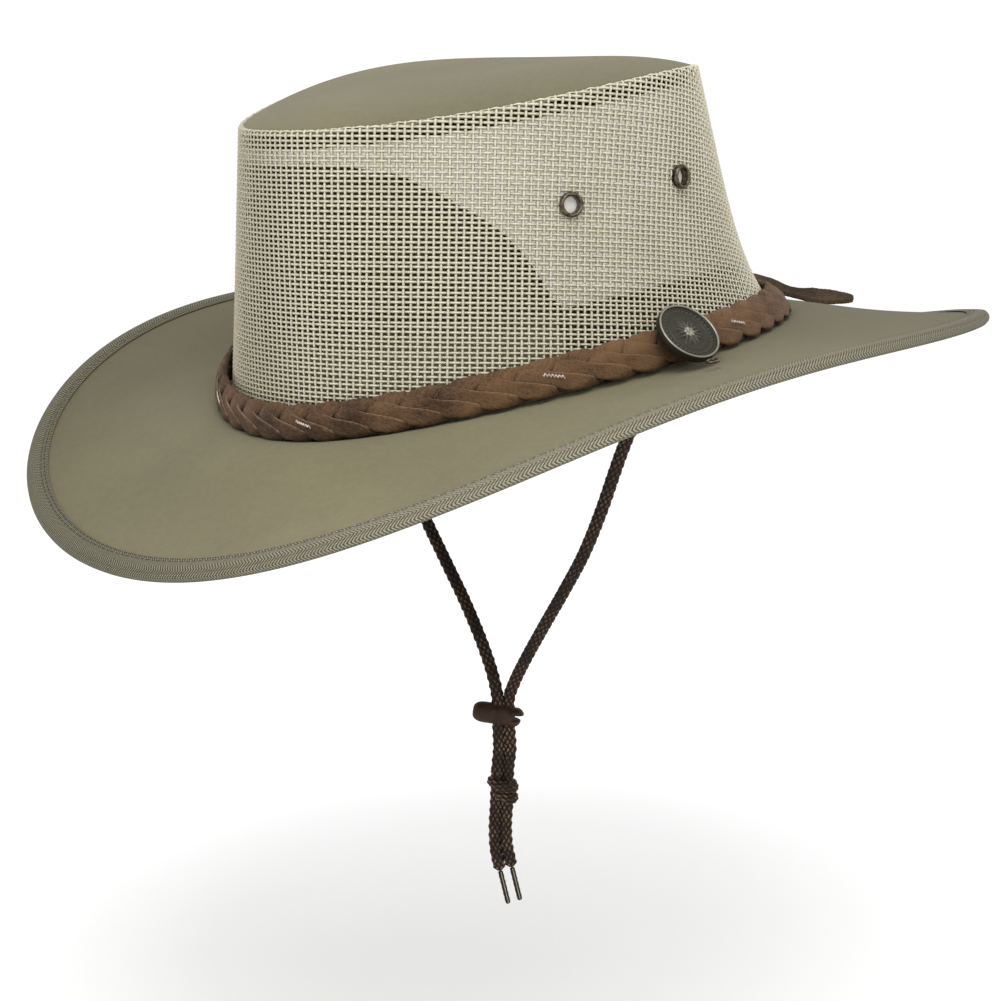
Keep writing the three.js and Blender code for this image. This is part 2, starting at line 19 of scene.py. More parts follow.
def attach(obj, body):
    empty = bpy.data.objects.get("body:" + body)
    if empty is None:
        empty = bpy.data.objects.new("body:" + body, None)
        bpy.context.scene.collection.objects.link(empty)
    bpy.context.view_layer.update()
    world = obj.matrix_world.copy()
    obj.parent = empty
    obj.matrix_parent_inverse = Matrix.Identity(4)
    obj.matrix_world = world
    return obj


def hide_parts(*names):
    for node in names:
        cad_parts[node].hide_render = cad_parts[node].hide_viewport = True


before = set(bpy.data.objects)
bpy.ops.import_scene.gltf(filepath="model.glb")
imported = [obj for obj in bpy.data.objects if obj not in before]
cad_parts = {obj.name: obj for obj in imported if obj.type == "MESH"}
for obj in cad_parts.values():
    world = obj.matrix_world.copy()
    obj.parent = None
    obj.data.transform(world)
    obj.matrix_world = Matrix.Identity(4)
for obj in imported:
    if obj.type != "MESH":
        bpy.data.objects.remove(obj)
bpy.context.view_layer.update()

rng = np.random.default_rng(7)
print("nodes in the frame:", len(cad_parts))

# %% [markdown]
# ## Units and the two frames
# All sizes below are millimetres and degrees, as a hatter would write them. The hat was drawn level
# and then tipped front down, as it is worn, while its chin cord hangs plumb. So each piece is worked
# out in one of two frames, and a level piece is turned about X by the pitch when its mesh is made.

# %% Units
MM = 0.001
WORN_PITCH = math.radians(9.5)
UP = np.array([0.0, 0.0, 1.0])


def as_worn(points):
    """Level points turned about X: y' = y cos p - z sin p and z' = y sin p + z cos p."""
    x, y, z = np.moveaxis(points, -1, 0)
    c, s = math.cos(WORN_PITCH), math.sin(WORN_PITCH)
    return np.stack([x, y * c - z * s, y * s + z * c], axis=-1)


def unit(vectors):
    """Vectors divided by their lengths."""
    return vectors / np.maximum(np.linalg.norm(vectors, axis=-1, keepdims=True), 1e-12)


def moved(start, *ways):
    """A start point plus each amount times its direction, for any number of (amount, direction)."""
    for amount, direction in ways:
        start = start + np.asarray(amount)[..., None] * direction
    return start


def full_turn(count):
    """The angles of one full turn in even steps."""
    return np.arange(count) * 2 * np.pi / count


def srgb(red, green, blue):
    """A colour as a paint chart gives it, 0 to 255, as the shader's linear numbers with alpha 1."""
    share = np.array([red, green, blue]) / 255
    linear = np.where(share > 0.04045, ((share + 0.055) / 1.055) ** 2.4, share / 12.92)
    return (*(float(x) for x in linear), 1.0)


# %% [markdown]
# ## Camera
# The photograph looks at the hat's left front corner from a little above, with a long lens. A camera
# can be aimed with a constraint, but three square directions worked out from two angles are plainer:
# one towards the camera, one to its right, and their cross product, which points up in the picture.

# %% Camera
VIEW_AZIMUTH = math.radians(48.6)
VIEW_ELEVATION = math.radians(10.25)
VIEW_DISTANCE = 823
SENSOR_MM = 36
LENS_MM = 82.2
AIM_RIGHT, AIM_UP = -3.3, -52.9


def view_axes(azimuth, elevation):
    """Right, up and back directions of a level camera that looks at the hat from these angles."""
    back = np.array([
        math.sin(azimuth) * math.cos(elevation),
        -math.cos(azimuth) * math.cos(elevation),
        math.sin(elevation),
    ])
    right = np.array([math.cos(azimuth), math.sin(azimuth), 0.0])
    return right, np.cross(back, right), back


def stand(thing, axes, place):
    """Puts an object at a place in metres, with these right, up and back directions."""
    turned = np.eye(4)
    turned[:3, :3] = np.stack(axes, axis=1)
    turned[:3, 3] = place
    thing.matrix_world = Matrix(turned.tolist())
    bpy.context.scene.collection.objects.link(thing)


view_right, view_up, view_back = view_axes(VIEW_AZIMUTH, VIEW_ELEVATION)
eye = AIM_RIGHT * view_right + AIM_UP * view_up + VIEW_DISTANCE * view_back
camera = bpy.data.objects.new("camera", bpy.data.cameras.new("camera"))
camera.data.lens = LENS_MM
camera.data.sensor_width = SENSOR_MM
camera.data.clip_start = 0.01
stand(camera, (view_right, view_up, view_back), eye * MM)
bpy.context.scene.camera = camera
bpy.context.scene.view_settings.view_transform = "Standard"
print("camera at", np.round(eye * MM, 3), "m")

# %% [markdown]
# ## Pieces from grids
# Every soft and turned part of a hat can be written as a grid of points: round the hat one way and
# up, out or through it the other way. A mesh could be edited by hand, or grown with modifiers, but a
# grid worked out as one array is exact, quick and easy to change. The class below gathers such grids,
# closes them where they meet themselves, and turns them inside out if their volume is negative.
# Each point may carry two marks for the shaders: a tint for its strand and a relief for its height.

# %% Pieces from grids
class Shape:
    """Grids of points in millimetres, gathered into one mesh."""

    def __init__(self):
        self.points, self.faces, self.corners_uv = [], {3: [], 4: []}, {3: [], 4: []}
        self.marks = {"tint": [], "relief": []}
        self.count = 0

    def keep(self, points, **marks):
        """Stores points with their marks and returns the number that the first of them got."""
        first = self.count
        flat = points.reshape(-1, 3)
        self.points.append(flat)
        for name, kept in self.marks.items():
            kept.append(np.broadcast_to(marks.get(name, 0.0), points.shape[:-1]).reshape(-1))
        self.count += len(flat)
        return first

    def add(self, points, closed=(False, True), size=(1.0, 1.0), tint=0.0, relief=0.0):
        """Adds one grid (rows, columns, 3) or several alike (copies, rows, columns, 3). A face joins
        row i, column j with the next of each. Its UV runs from 0 to size along rows and columns. Open
        rows of closed columns are a tube, and get a middle point and a fan at either end. The shape
        is handed back, so that it can be built in the same line."""
        points = np.asarray(points, float)
        points = points[None] if points.ndim == 3 else points
        copies, rows, columns, _ = points.shape
        bays = rows - (not closed[0]), columns - (not closed[1])
        i, j = np.meshgrid(np.arange(bays[0]), np.arange(bays[1]), indexing="ij")
        around = [(i, j), (i + 1, j), (i + 1, j + 1), (i, j + 1)]
        faces = np.stack([(a % rows) * columns + b % columns for a, b in around], -1).reshape(-1, 4)
        uv = [np.stack([a / bays[0] * size[0], b / bays[1] * size[1]], -1) for a, b in around]
        uv = np.stack(uv, -2).reshape(-1, 4, 2)
        first = self.keep(points, tint=tint, relief=relief)
        starts = first + np.arange(copies)[:, None, None] * rows * columns
        self.faces[4].append((faces[None] + starts).reshape(-1, 4))
        self.corners_uv[4].append(np.tile(uv, (copies, 1, 1)))
        if closed == (False, True):
            for row, turn in ((0, 1), (rows - 1, -1)):
                middle = self.keep(points[:, row].mean(axis=1))
                j = np.arange(columns)[::turn]
                ring = row * columns + np.stack([j, np.roll(j, -1)], -1)
                fan = np.empty((copies, columns, 3), int)
                fan[..., 0] = (middle + np.arange(copies))[:, None]
                fan[..., 1:] = ring[None] + starts
                self.faces[3].append(fan.reshape(-1, 3))
                self.corners_uv[3].append(np.zeros((copies * columns, 3, 2)))
        return self

    def add_strands(self, points, inside, tint=0.0, relief=0.0):
        """Adds strands of small rings (strands, samples, sides, 3), of which only the samples marked
        inside are kept. Two kept neighbours are joined by a face on each side, and one face closes
        each end of every run. UV counts the samples along and the sides across."""
        sides = points.shape[2]
        linked = inside[:, :-1] & inside[:, 1:]
        used = np.pad(linked, ((0, 0), (1, 0))) | np.pad(linked, ((0, 0), (0, 1)))
        marks = {"tint": tint, "relief": relief}
        marks = {name: np.broadcast_to(mark, used.shape)[used][:, None] for name, mark in marks.items()}
        first = self.keep(points[used], **marks)
        base = first + sides * (np.cumsum(used).reshape(used.shape) - 1)
        sample = np.broadcast_to(np.arange(used.shape[1]), used.shape)
        start, here = base[:, :-1][linked], sample[:, :-1][linked]
        for side in range(sides):
            nearby = (side + 1) % sides
            joined = [start + side, start + sides + side, start + sides + nearby, start + nearby]
            self.faces[4].append(np.stack(joined, -1))
            corners = [(here, side), (here + 1, side), (here + 1, side + 1), (here, side + 1)]
            self.corners_uv[4].append(np.stack([np.stack([u, 0 * u + v], -1) for u, v in corners], -2))
        before = np.pad(linked, ((0, 0), (1, 0)))
        after = np.pad(linked, ((0, 0), (0, 1)))
        order = np.arange(sides)
        for ends, turned_order in ((used & ~before, order), (used & ~after, order[::-1])):
            self.faces[sides].append(base[ends][:, None] + turned_order)
            self.corners_uv[sides].append(np.zeros((int(ends.sum()), sides, 2)))
        return self

    def build(self, name, level=True):
        """Makes the object, in metres at the origin, with faces that point outwards."""
        points = np.concatenate(self.points)
        points = (as_worn(points) if level else points) * MM
        kinds = [size for size in (4, 3) if self.faces[size]]
        faces = {size: np.concatenate(self.faces[size]) for size in kinds}
        uvs = {size: np.concatenate(self.corners_uv[size]) for size in kinds}
        volume = sum(
            np.einsum("ij,ij->", points[f[:, 0]], np.cross(points[f[:, k]], points[f[:, k + 1]]))
            for f in faces.values()
            for k in range(1, f.shape[1] - 1)
        )
        if volume < 0:
            faces = {size: f[:, ::-1] for size, f in faces.items()}
            uvs = {size: uv[:, ::-1] for size, uv in uvs.items()}
        corners = np.concatenate([f.ravel() for f in faces.values()])
        sizes = np.concatenate([np.full(len(f), size) for size, f in faces.items()])
        mesh = bpy.data.meshes.new(name)
        mesh.vertices.add(len(points))
        mesh.vertices.foreach_set("co", points.astype(np.float32).ravel())
        mesh.loops.add(len(corners))
        mesh.loops.foreach_set("vertex_index", corners.astype(np.int32))
        mesh.polygons.add(len(sizes))
        mesh.polygons.foreach_set("loop_start", (np.cumsum(sizes) - sizes).astype(np.int32))
        layer = mesh.uv_layers.new(name="UVMap")
        flat_uv = np.concatenate([uv.reshape(-1, 2) for uv in uvs.values()])
        layer.uv.foreach_set("vector", flat_uv.astype(np.float32).ravel())
        for mark, kept in self.marks.items():
            attribute = mesh.attributes.new(mark, "FLOAT", "POINT")
            attribute.data.foreach_set("value", np.concatenate(kept).astype(np.float32))
        mesh.update(calc_edges=True)
        mesh.shade_smooth()
        piece = bpy.data.objects.new(name, mesh)
        bpy.context.scene.collection.objects.link(piece)
        triangles = int((sizes - 2).sum())
        print(f"{name}: {triangles} triangles, {abs(volume) / 6 * 1e6:.2f} cubic cm")
        return piece


def add_piece(name, shape, finish, replaces=(), level=True):
    """Builds a shape, gives it its finish, rides it on the hat, and hides the imported parts it replaces."""
    piece = shape.build(name, level)
    piece.data.materials.append(finish.material)
    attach(piece, "root")
    if replaces:
        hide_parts(*replaces)
    return piece


# %% [markdown]
# ## Shader maths as plain sums
# A cloth's pattern is a sum of waves and noises. In Blender each sum is a Math node, which makes a
# long row of boxes. Here a small class stands for a socket and answers to Python's own signs, so
# that `1 - wave * 0.5` adds the nodes by itself. One method makes every other kind of node.

# %% Shader maths
class Value:
    """A number, colour or vector on its way through a shader."""

    def __init__(self, finish, socket):
        self.finish, self.socket = finish, socket

    def math(self, operation, *others, turned=False):
        values = [*others, self] if turned else [self, *others]
        return self.finish.node("Math", {"operation": operation}, values)

    def __add__(self, other):
        return self.math("ADD", other)

    def __sub__(self, other):
        return self.math("SUBTRACT", other)

    def __rsub__(self, other):
        return self.math("SUBTRACT", other, turned=True)

    def __mul__(self, other):
        return self.math("MULTIPLY", other)

    def __truediv__(self, other):
        return self.math("DIVIDE", other)

    __radd__, __rmul__ = __add__, __mul__

    def sine(self):
        return self.math("SINE")

    def size(self):
        return self.math("ABSOLUTE")

    def fraction(self):
        return self.math("FRACT")

    def within(self, low, high):
        """0 below low, 1 above high, and a smooth rise between."""
        settings = {"interpolation_type": "SMOOTHSTEP"}
        return self.finish.node("MapRange", settings, {"Value": self, "From Min": low, "From Max": high})


class Finish:
    """A material: one Principled shader, its constants on its own sockets, and patterns fed in."""

    def __init__(self, name, **constants):
        self.material = bpy.data.materials.new(name)
        self.material.use_nodes = True
        self.tree = self.material.node_tree
        self.shader = self.tree.nodes["Principled BSDF"]
        self.last_bump = None
        for socket, value in constants.items():
            self.shader.inputs[socket.replace("_", " ")].default_value = value

    def node(self, kind, settings=None, inputs=None, output=0):
        """Adds a node of a type: its settings first, then its inputs by place or by name."""
        made = self.tree.nodes.new("ShaderNode" + kind)
        for setting, value in (settings or {}).items():
            setattr(made, setting, value)
        shown = [slot for slot in made.inputs if slot.enabled]
        pairs = inputs.items() if isinstance(inputs, dict) else enumerate(inputs or [])
        for key, value in pairs:
            slot = shown[key] if isinstance(key, int) else next(s for s in shown if s.name == key)
            if isinstance(value, Value):
                self.tree.links.new(value.socket, slot)
            else:
                slot.default_value = value
        return Value(self, [slot for slot in made.outputs if slot.enabled][output])

    def place(self):
        """The point's own place on the object, in metres."""
        return self.node("TexCoord", output=3)

    def away_from(self, place):
        """The distance of the point from a fixed place, in metres."""
        return self.node("VectorMath", {"operation": "DISTANCE"}, [self.place(), place])

    def to_the_right(self):
        """How far the point lies from the hat's middle towards the photograph's right, in metres: its
        x and y times those of that direction. Right is towards the wearer's left and back."""
        x, y, _ = self.parts(self.place())
        return x * view_right[0] + y * view_right[1]

    def along(self):
        """The two numbers of the piece's UV map: along its rows and across its columns."""
        return self.parts(self.node("UVMap", {"uv_map": "UVMap"}))[:2]

    def parts(self, vector):
        """The three numbers of a vector."""
        split = self.node("SeparateXYZ", None, [vector]).socket.node
        return [Value(self, socket) for socket in split.outputs]

    def mark(self, name):
        """One of the marks that the points carry."""
        return self.node("Attribute", {"attribute_name": name}, output=2)

    def noise(self, scale, detail=2.0, roughness=0.5, vector=None):
        """Cloudy noise from 0 to 1, with its scale in waves for each metre."""
        inputs = {"Vector": vector or self.place(), "Scale": scale, "Detail": detail, "Roughness": roughness}
        return self.node("TexNoise", None, inputs)

    def stretched(self, u, v):
        """A vector from two numbers, for a noise that is drawn out along a strip."""
        return self.node("CombineXYZ", None, [u, v, 0.0])

    def mix(self, factor, low, high):
        """A colour between two others, each of them mixed before or as a paint chart gives it."""
        low, high = (c if isinstance(c, Value) else srgb(*c) for c in (low, high))
        return self.node("Mix", {"data_type": "RGBA"}, {"Factor": factor, "A": low, "B": high})

    def feed(self, socket, value):
        self.tree.links.new(value.socket, self.shader.inputs[socket])

    def paint(self, factor, low, high):
        """Gives the surface a colour between two others."""
        self.feed("Base Color", self.mix(factor, low, high))

    def bump(self, height, depth_mm, strength=1.0):
        """Tilts the surface as if its height, from 0 to 1, stood depth_mm proud. Bumps add up."""
        inputs = {"Strength": strength, "Distance": depth_mm * MM, "Height": height}
        if self.last_bump:
            inputs["Normal"] = self.last_bump
        self.last_bump = self.node("Bump", None, inputs)
        self.feed("Normal", self.last_bump)


def stitched(along, aside, pitch, edge, gap):
    """A row of stitches: 1 near the row's line and inside a stitch, 0 elsewhere. The stitches repeat
    by their pitch, and edge and gap say where a stitch fades out beside its line and at its ends."""
    dash = ((along / pitch).fraction() - 0.5).size()
    return (1 - aside.size().within(*edge)) * (1 - dash.within(*gap))


# %% [markdown]
# ## Lines and tubes
# The chin cord and the wire loop follow lines in space. A curve object would do, but a braid needs
# its relief to follow the line, so each is a mesh tube: a ring of points is carried along the line,
# square to it, and the ring's radius may change with the angle and the distance.

# %% Lines and tubes
def smooth_line(points, step):
    """A centripetal Catmull-Rom curve through the points: each stretch between two of them blends
    the straight lines through four, timed by the square roots of their distances. Samples are then
    spaced evenly, about a step apart."""
    p = np.asarray(points, float)
    p = np.vstack([2 * p[0] - p[1], p, 2 * p[-1] - p[-2]])
    t = np.concatenate([[0], np.cumsum(np.linalg.norm(np.diff(p, axis=0), axis=1) ** 0.5)])
    at = np.linspace(t[1], t[-2], 60 * len(p))
    i = np.clip(np.searchsorted(t, at, side="right") - 1, 1, len(p) - 3)

    def blend(a, b, start, end):
        share = ((at - start) / (end - start))[:, None]
        return a * (1 - share) + b * share

    a = blend(p[i - 1], p[i], t[i - 1], t[i])
    b = blend(p[i], p[i + 1], t[i], t[i + 1])
    c = blend(p[i + 1], p[i + 2], t[i + 1], t[i + 2])
    line = blend(blend(a, b, t[i - 1], t[i + 1]), blend(b, c, t[i], t[i + 2]), t[i], t[i + 1])
    return evenly(line, step)


def evenly(line, step):
    """The same line with points an even step apart."""
    run = np.concatenate([[0], np.cumsum(np.linalg.norm(np.diff(line, axis=0), axis=1))])
    at = np.linspace(0, run[-1], max(2, round(run[-1] / step) + 1))
    return np.stack([np.interp(at, run, line[:, k]) for k in range(3)], axis=1)


def length_of(line):
    return float(np.linalg.norm(np.diff(line, axis=0), axis=1).sum())


def rounded_ends(share, reach, least=0.0):
    """A factor for a share from 0 to 1: the square root of the distance to the nearer end, over the
    reach, never below the least and 1 beyond the reach."""
    return np.sqrt(np.clip(np.minimum(share, 1 - share) / reach, least, 1))


def frames_along(line, beside):
    """Two directions square to the line at each point: one as near as can be to beside, and one
    square to both."""
    beside = np.asarray(beside, float)
    along = unit(np.gradient(line, axis=0))
    across = unit(beside - along * (along @ beside)[:, None])
    return across, np.cross(along, across)


def tube(line, radius, sides, beside):
    """Rings round a line: point = line + radius (cos a across + sin a away). The radius may be one
    number, one for each ring, or one for each point of each ring."""
    across, away = frames_along(line, beside)
    radius = np.reshape(radius, (-1, 1)) if np.ndim(radius) == 1 else radius
    x, y = radius * np.cos(full_turn(sides)), radius * np.sin(full_turn(sides))
    return moved(line[:, None], (x, across[:, None]), (y, away[:, None]))


# %% [markdown]
# ## Braided cord
# The chin cord is a braid of dark brown yarn, a little wider than it is thick. A real braid is two
# sets of yarns that wind round opposite ways and pass over and under each other. Modelling each yarn
# would cost a million faces. The relief of the braid is enough: the cord's skin is cut into slanted
# cells, and in each cell the yarn that lies on top stands up as a small pillow, longer the way it
# runs. The yarn's tops get a painted highlight and its hollows painted shade, and the painted
# highlight is weaker above the toggle.

# %% Braided cord
CORD_DIAMETER, CORD_WIDER = 3.7, 0.6
YARNS_ROUND, YARN_RISE, BRAID_DEPTH = 6, 1.6, 0.5
PILLOW_BROAD, PILLOW_NARROW = 0.35, 1.1


def braid_relief(along, turn):
    """Height of the braid from 0 to 1. Two slanted counts are taken: turns plus rise, and turns less
    rise. Their whole parts name a cell, like a chess board's, and their fractions give a pillow that
    is a broad sine one way and a narrow sine the other, turned about from cell to cell."""
    p = turn / (2 * np.pi) * YARNS_ROUND + along / YARN_RISE / 2
    q = turn / (2 * np.pi) * YARNS_ROUND - along / YARN_RISE / 2
    over = (np.floor(p) + np.floor(q)) % 2
    p, q = np.sin(np.pi * (p % 1)), np.sin(np.pi * (q % 1))
    return np.where(over > 0, p, q) ** PILLOW_BROAD * np.where(over > 0, q, p) ** PILLOW_NARROW


def braided(line, beside, sides=34, tint=0.0, wider=CORD_WIDER):
    """A braided tube along a line: radius = half the diameter, more at the two wide sides by the
    square of the cosine, less by the depth of the braid where its relief is low, and rounded off at
    both ends."""
    step = length_of(line) / (len(line) - 1)
    along = np.arange(len(line))[:, None] * step
    turn = full_turn(sides)[None]
    relief = braid_relief(along, turn)
    radius = CORD_DIAMETER / 2 + wider * np.cos(turn) ** 2 - BRAID_DEPTH * (1 - relief)
    end = np.minimum(along, along[::-1]) / (CORD_DIAMETER / 2)
    radius = radius * np.sqrt(1 - (1 - np.clip(end, 0.12, 1)) ** 2)
    size = (length_of(line), np.pi * CORD_DIAMETER)
    return Shape().add(tube(line, radius, sides, beside), size=size, tint=tint, relief=relief)


cord_braid = Finish("cord_braid", Roughness=0.72, Specular_IOR_Level=0.2)
# Painted highlight on the yarn's tops and painted shade in its hollows, from the braid's relief
lit_yarn_tops = cord_braid.mark("relief").within(0.35, 1.0)
patch = cord_braid.noise(150, 2.0).within(0.35, 0.65)
fibre = cord_braid.noise(1900, 3.0, 0.6)
above_toggle = cord_braid.parts(cord_braid.place())[2].within(-0.15, -0.11)
# The painted highlight is weaker above the toggle
glint = lit_yarn_tops * (0.25 + 0.75 * patch) * fibre.within(0.3, 0.62) * (1 - 0.45 * above_toggle)
cord_braid.paint(glint, (27, 18, 14), (138, 111, 85))
cord_braid.bump(fibre, 0.12, 0.6)

# %% [markdown]
# ## The chin cord's route
# The cord leaves the hat at either side of the head opening, bends down over the edge of the
# sweatband, and its two strands meet in a V at the toggle, run doubled through it to a knot, and end
# in two short tails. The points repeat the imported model's, so each tube lies where its solid is.
# The doubled part lies side by side as the photograph shows it, across the view.

# %% Route of the chin cord
HANGING_LINE = np.array([-1.2, -2.0, 0.0])
ACROSS_VIEW, TOWARDS_VIEW = view_right, np.cross(view_right, UP)
LEFT_ROUTE = [
    (81, 10.3, 6.6), (81, 5.5, 4.8), (80.5, 1.4, 1.2), (78.8, -1, -4), (75, -1.9, -9.4),
    (69.3, -2, -14.6), (64.4, -2, -20.4), (60.3, -2, -28), (56, -2, -37.4), (50.3, -2, -50.2),
    (41.6, -2, -66.9), (31.6, -2, -81.8), (20.4, -1.6, -97), (9.6, -0.8, -111.6), (3.2, -0.2, -121),
]
RIGHT_ROUTE = [
    (-81, 10.3, 6.6), (-81, 5.5, 4.8), (-80.5, 1.4, 1.2), (-78.8, -1, -4), (-75.4, -1.9, -10.4),
    (-71.2, -2, -18.4), (-66.4, -2, -29), (-60.6, -2, -41.6), (-53.8, -2, -54.4), (-45.6, -2, -66.8),
    (-35, -2, -80), (-22.4, -2.3, -95), (-11.4, -2.9, -109.8), (-4.8, -3.6, -120.6),
]
# How far each strand is beside the middle line, and its height
LEFT_DOUBLED = [(2.1, -128), (2.0, -134), (2.3, -140.5), (2.65, -147.5), (1.9, -154.2)]
RIGHT_DOUBLED = [(2.1, -128), (2.0, -134), (1.7, -140.5), (1.5, -147.5), (2.1, -154.2)]
LEFT_END = [(1.4, -169.4), (1.0, -177), (1.5, -185.5), (3.2, -193)]
RIGHT_END = [(-2.7, -169.4), (-3.1, -177), (-2.8, -185.5), (-1.2, -194.4)]


def beside_line(rows, sign=1):
    """Points at each height, moved off the hanging line across the view."""
    aside, height = np.array(rows, float).T
    return moved(HANGING_LINE, (sign * aside, ACROSS_VIEW), (height, UP))


left_route = [LEFT_ROUTE, beside_line(LEFT_DOUBLED), beside_line(LEFT_END)]
right_route = [RIGHT_ROUTE, beside_line(RIGHT_DOUBLED, -1), beside_line(RIGHT_END)]
routes = {"left": left_route, "right": right_route}
lines = {side: smooth_line(np.vstack(route), 0.35) for side, route in routes.items()}
strands = {
    side: add_piece(
        f"chin_cord_{side}_braid", braided(line, ACROSS_VIEW, tint=float(side == "right")),
        cord_braid, [f"chin_cord_{side}", f"cord_end_{side}"], level=False,
    )
    for side, line in lines.items()
}
for side, line in lines.items():
    print(f"{side} strand: {length_of(line):.0f} mm")

# %% [markdown]
# ## Knot
# Both strands are tied together in an overhand knot, which keeps the toggle from sliding off. The
# strands run straight down through its middle, and the turn that holds them is wound round outside:
# a helix that is wider across the view than in depth, leans, and tucks in at both its ends.

# %% Knot
KNOT_HEIGHT, KNOT_RISE, KNOT_LEAN = -161.7, 7.6, -0.55
KNOT_START, KNOT_TURNS, KNOT_TUCK = math.radians(171), 1.9, 0.12
KNOT_REACH, KNOT_SWELLING, KNOT_ASIDE, KNOT_DEPTH = 4.2, 0.1, -0.5, 3.5

share = np.linspace(0, 1, 400)
turn = KNOT_START + 2 * np.pi * KNOT_TURNS * share
tucked = rounded_ends(share, KNOT_TUCK)
swelling = 1 + KNOT_SWELLING * np.sin(np.pi * share) * np.cos(turn)
knot_across = KNOT_ASIDE + KNOT_REACH * swelling * np.cos(turn) * tucked
knot_line = moved(
    HANGING_LINE,
    (knot_across, ACROSS_VIEW),
    (KNOT_DEPTH * np.sin(turn) * tucked, TOWARDS_VIEW),
    (KNOT_HEIGHT + KNOT_RISE * (0.5 - share) + KNOT_LEAN * knot_across, UP),
)
knot = braided(evenly(knot_line, 0.33), (0.1, 0.2, 1), wider=CORD_WIDER / 2)
cord_knot = add_piece("cord_knot_turns", knot, cord_braid, ["cord_knot"], level=False)

# %% [markdown]
# ## Toggle
# The toggle is a moulded barrel, 18.6 mm long, with a rounded cap at one end and two prongs at the
# other. The barrel is one turned profile. The prongs are half rounds that stand on either side of a
# notch, so they are two short lofts of a D shape, sunk a little way into the barrel.

# %% Toggle
TOGGLE_HEIGHT, TOGGLE_TILT = -134.3, math.radians(9)
TOGGLE_CAP, TOGGLE_FORK = -11.4, 7.2
NOTCH_DEPTH, NOTCH_HALF_WIDTH = 3.6, 1.35
PRONG_HALF_DEPTH, PRONG_SUNK, PRONG_STRAIGHT = 3.6, 1.4, 0.45
TOGGLE_PROFILE = np.array([  # distance from the cap and radius
    (0.0, 0.7), (0.08, 1.5), (0.3, 2.2), (0.7, 2.75), (1.3, 3.2), (2.0, 3.52), (2.8, 3.74), (3.7, 3.86),
    (5, 3.9), (7, 3.88), (9, 3.86), (11, 3.86), (13, 3.86), (14.2, 3.8), (14.9, 3.6), (15.3, 3.15),
])
PRONGS = [(1, 2.226, 0.3), (-1, 2.65, -0.5)]  # side of the notch, height and length past the fork


def toggle_place(along, towards, upward):
    """Local toggle points put on the hanging line, turned to the view and tilted down to the right."""
    c, s = math.cos(TOGGLE_TILT), math.sin(TOGGLE_TILT)
    return moved(
        HANGING_LINE + TOGGLE_HEIGHT * UP,
        (along * c + upward * s, ACROSS_VIEW),
        (towards, TOWARDS_VIEW),
        (upward * c - along * s, UP),
    )


turn = full_turn(48)
along, radius = TOGGLE_CAP + TOGGLE_PROFILE[:, :1], TOGGLE_PROFILE[:, 1:]
toggle = Shape().add(toggle_place(along, radius * np.cos(turn), radius * np.sin(turn)))
step = np.linspace(0, 1, 9)[:, None]
arc = np.append(np.linspace(0, np.pi, 22), np.pi)
rounding = np.sqrt(1 - np.clip((step - PRONG_STRAIGHT) / (1 - PRONG_STRAIGHT), 0, 0.96) ** 2)
start = TOGGLE_FORK - NOTCH_DEPTH - PRONG_SUNK
for side, height, past_fork in PRONGS:
    along = start + (TOGGLE_FORK + past_fork - start) * step
    upward = side * (NOTCH_HALF_WIDTH * 0.85 + height * rounding * np.sin(arc))
    toggle.add(toggle_place(along, PRONG_HALF_DEPTH * rounding * np.cos(arc), upward))

plastic = Finish("toggle_plastic", Roughness=0.6, Specular_IOR_Level=0.2)
plastic.paint(plastic.noise(420, 3.0).within(0.3, 0.75), (42, 28, 20), (60, 41, 30))
plastic.bump(plastic.noise(2400, 2.0), 0.05, 0.5)
cord_toggle = add_piece("cord_toggle_body", toggle, plastic, ["cord_toggle"], level=False)

# %% [markdown]
# ## Metal tips
# Each short end of the cord is crimped into a thin metal tube. A tube with a few rings pressed into
# it is a turned profile carried along the way that the tip swings. The brass is dark with age, has a
# painted highlight along one side, and has gone green in patches next to the cord.

# %% Metal tips
TIP_RADIUS, TIP_LENGTH, TIP_SWING = 1.0, 13.4, 3.2
TIP_START, RING_PITCH, RING_DEPTH, TIP_ROUNDING = 0.3, 2.3, 0.1, 0.5
TIP_BRIGHT_SIDE = 2.1

aged_brass = Finish("aged_brass", Metallic=0.7, Specular_IOR_Level=0.5)
u, v = aged_brass.along()
patch = aged_brass.noise(420, 3.0, 0.65)
# Painted highlight: a bright stripe along one side of the tube, broken by noise
highlight_side = (((v - TIP_BRIGHT_SIDE).size() * -2.6 + 1) * 1.1 + patch - 0.6).within(0.2, 0.8)
green = (patch * (u / TIP_LENGTH * -1 + 1)).within(0.36, 0.5)
aged_brass.paint(highlight_side, (34, 28, 22), aged_brass.mix(green, (150, 142, 120), (122, 132, 82)))
aged_brass.feed("Roughness", 0.5 - 0.2 * highlight_side)
aged_brass.bump(patch, 0.1, 0.4)


def metal_tip(end):
    """A crimped tube: its radius dips by a tenth where a ring is pressed in, and rounds off at its end."""
    run = np.linspace(0, TIP_LENGTH, 60)
    line = end + (TIP_START + run)[:, None] * unit(TIP_SWING * ACROSS_VIEW - TIP_LENGTH * UP)
    crimp = 0.5 + 0.5 * np.cos(2 * np.pi * run / RING_PITCH)
    radius = TIP_RADIUS * (1 - RING_DEPTH + RING_DEPTH * crimp)
    radius = radius * rounded_ends(run / TIP_LENGTH, TIP_ROUNDING / TIP_LENGTH, 0.1)
    return Shape().add(
        tube(line, radius, 20, (0, 1, 0)), size=(TIP_LENGTH, 2 * np.pi * TIP_RADIUS), relief=crimp[:, None]
    )


tips = {
    side: add_piece(
        f"aglet_{side}_tube", metal_tip(line[-1]), aged_brass, [f"aglet_{side}"], level=False
    )
    for side, line in lines.items()
}

# %% [markdown]
# ## The cord's points in metres
# Each strand's first point and its line are put into metres, and nothing more is done with them.
# The far end of each is its metal tip.

# %% Cord facts
for side, line in lines.items():
    tuple(float(x) for x in line[0] * MM)
    (line * MM).tolist()

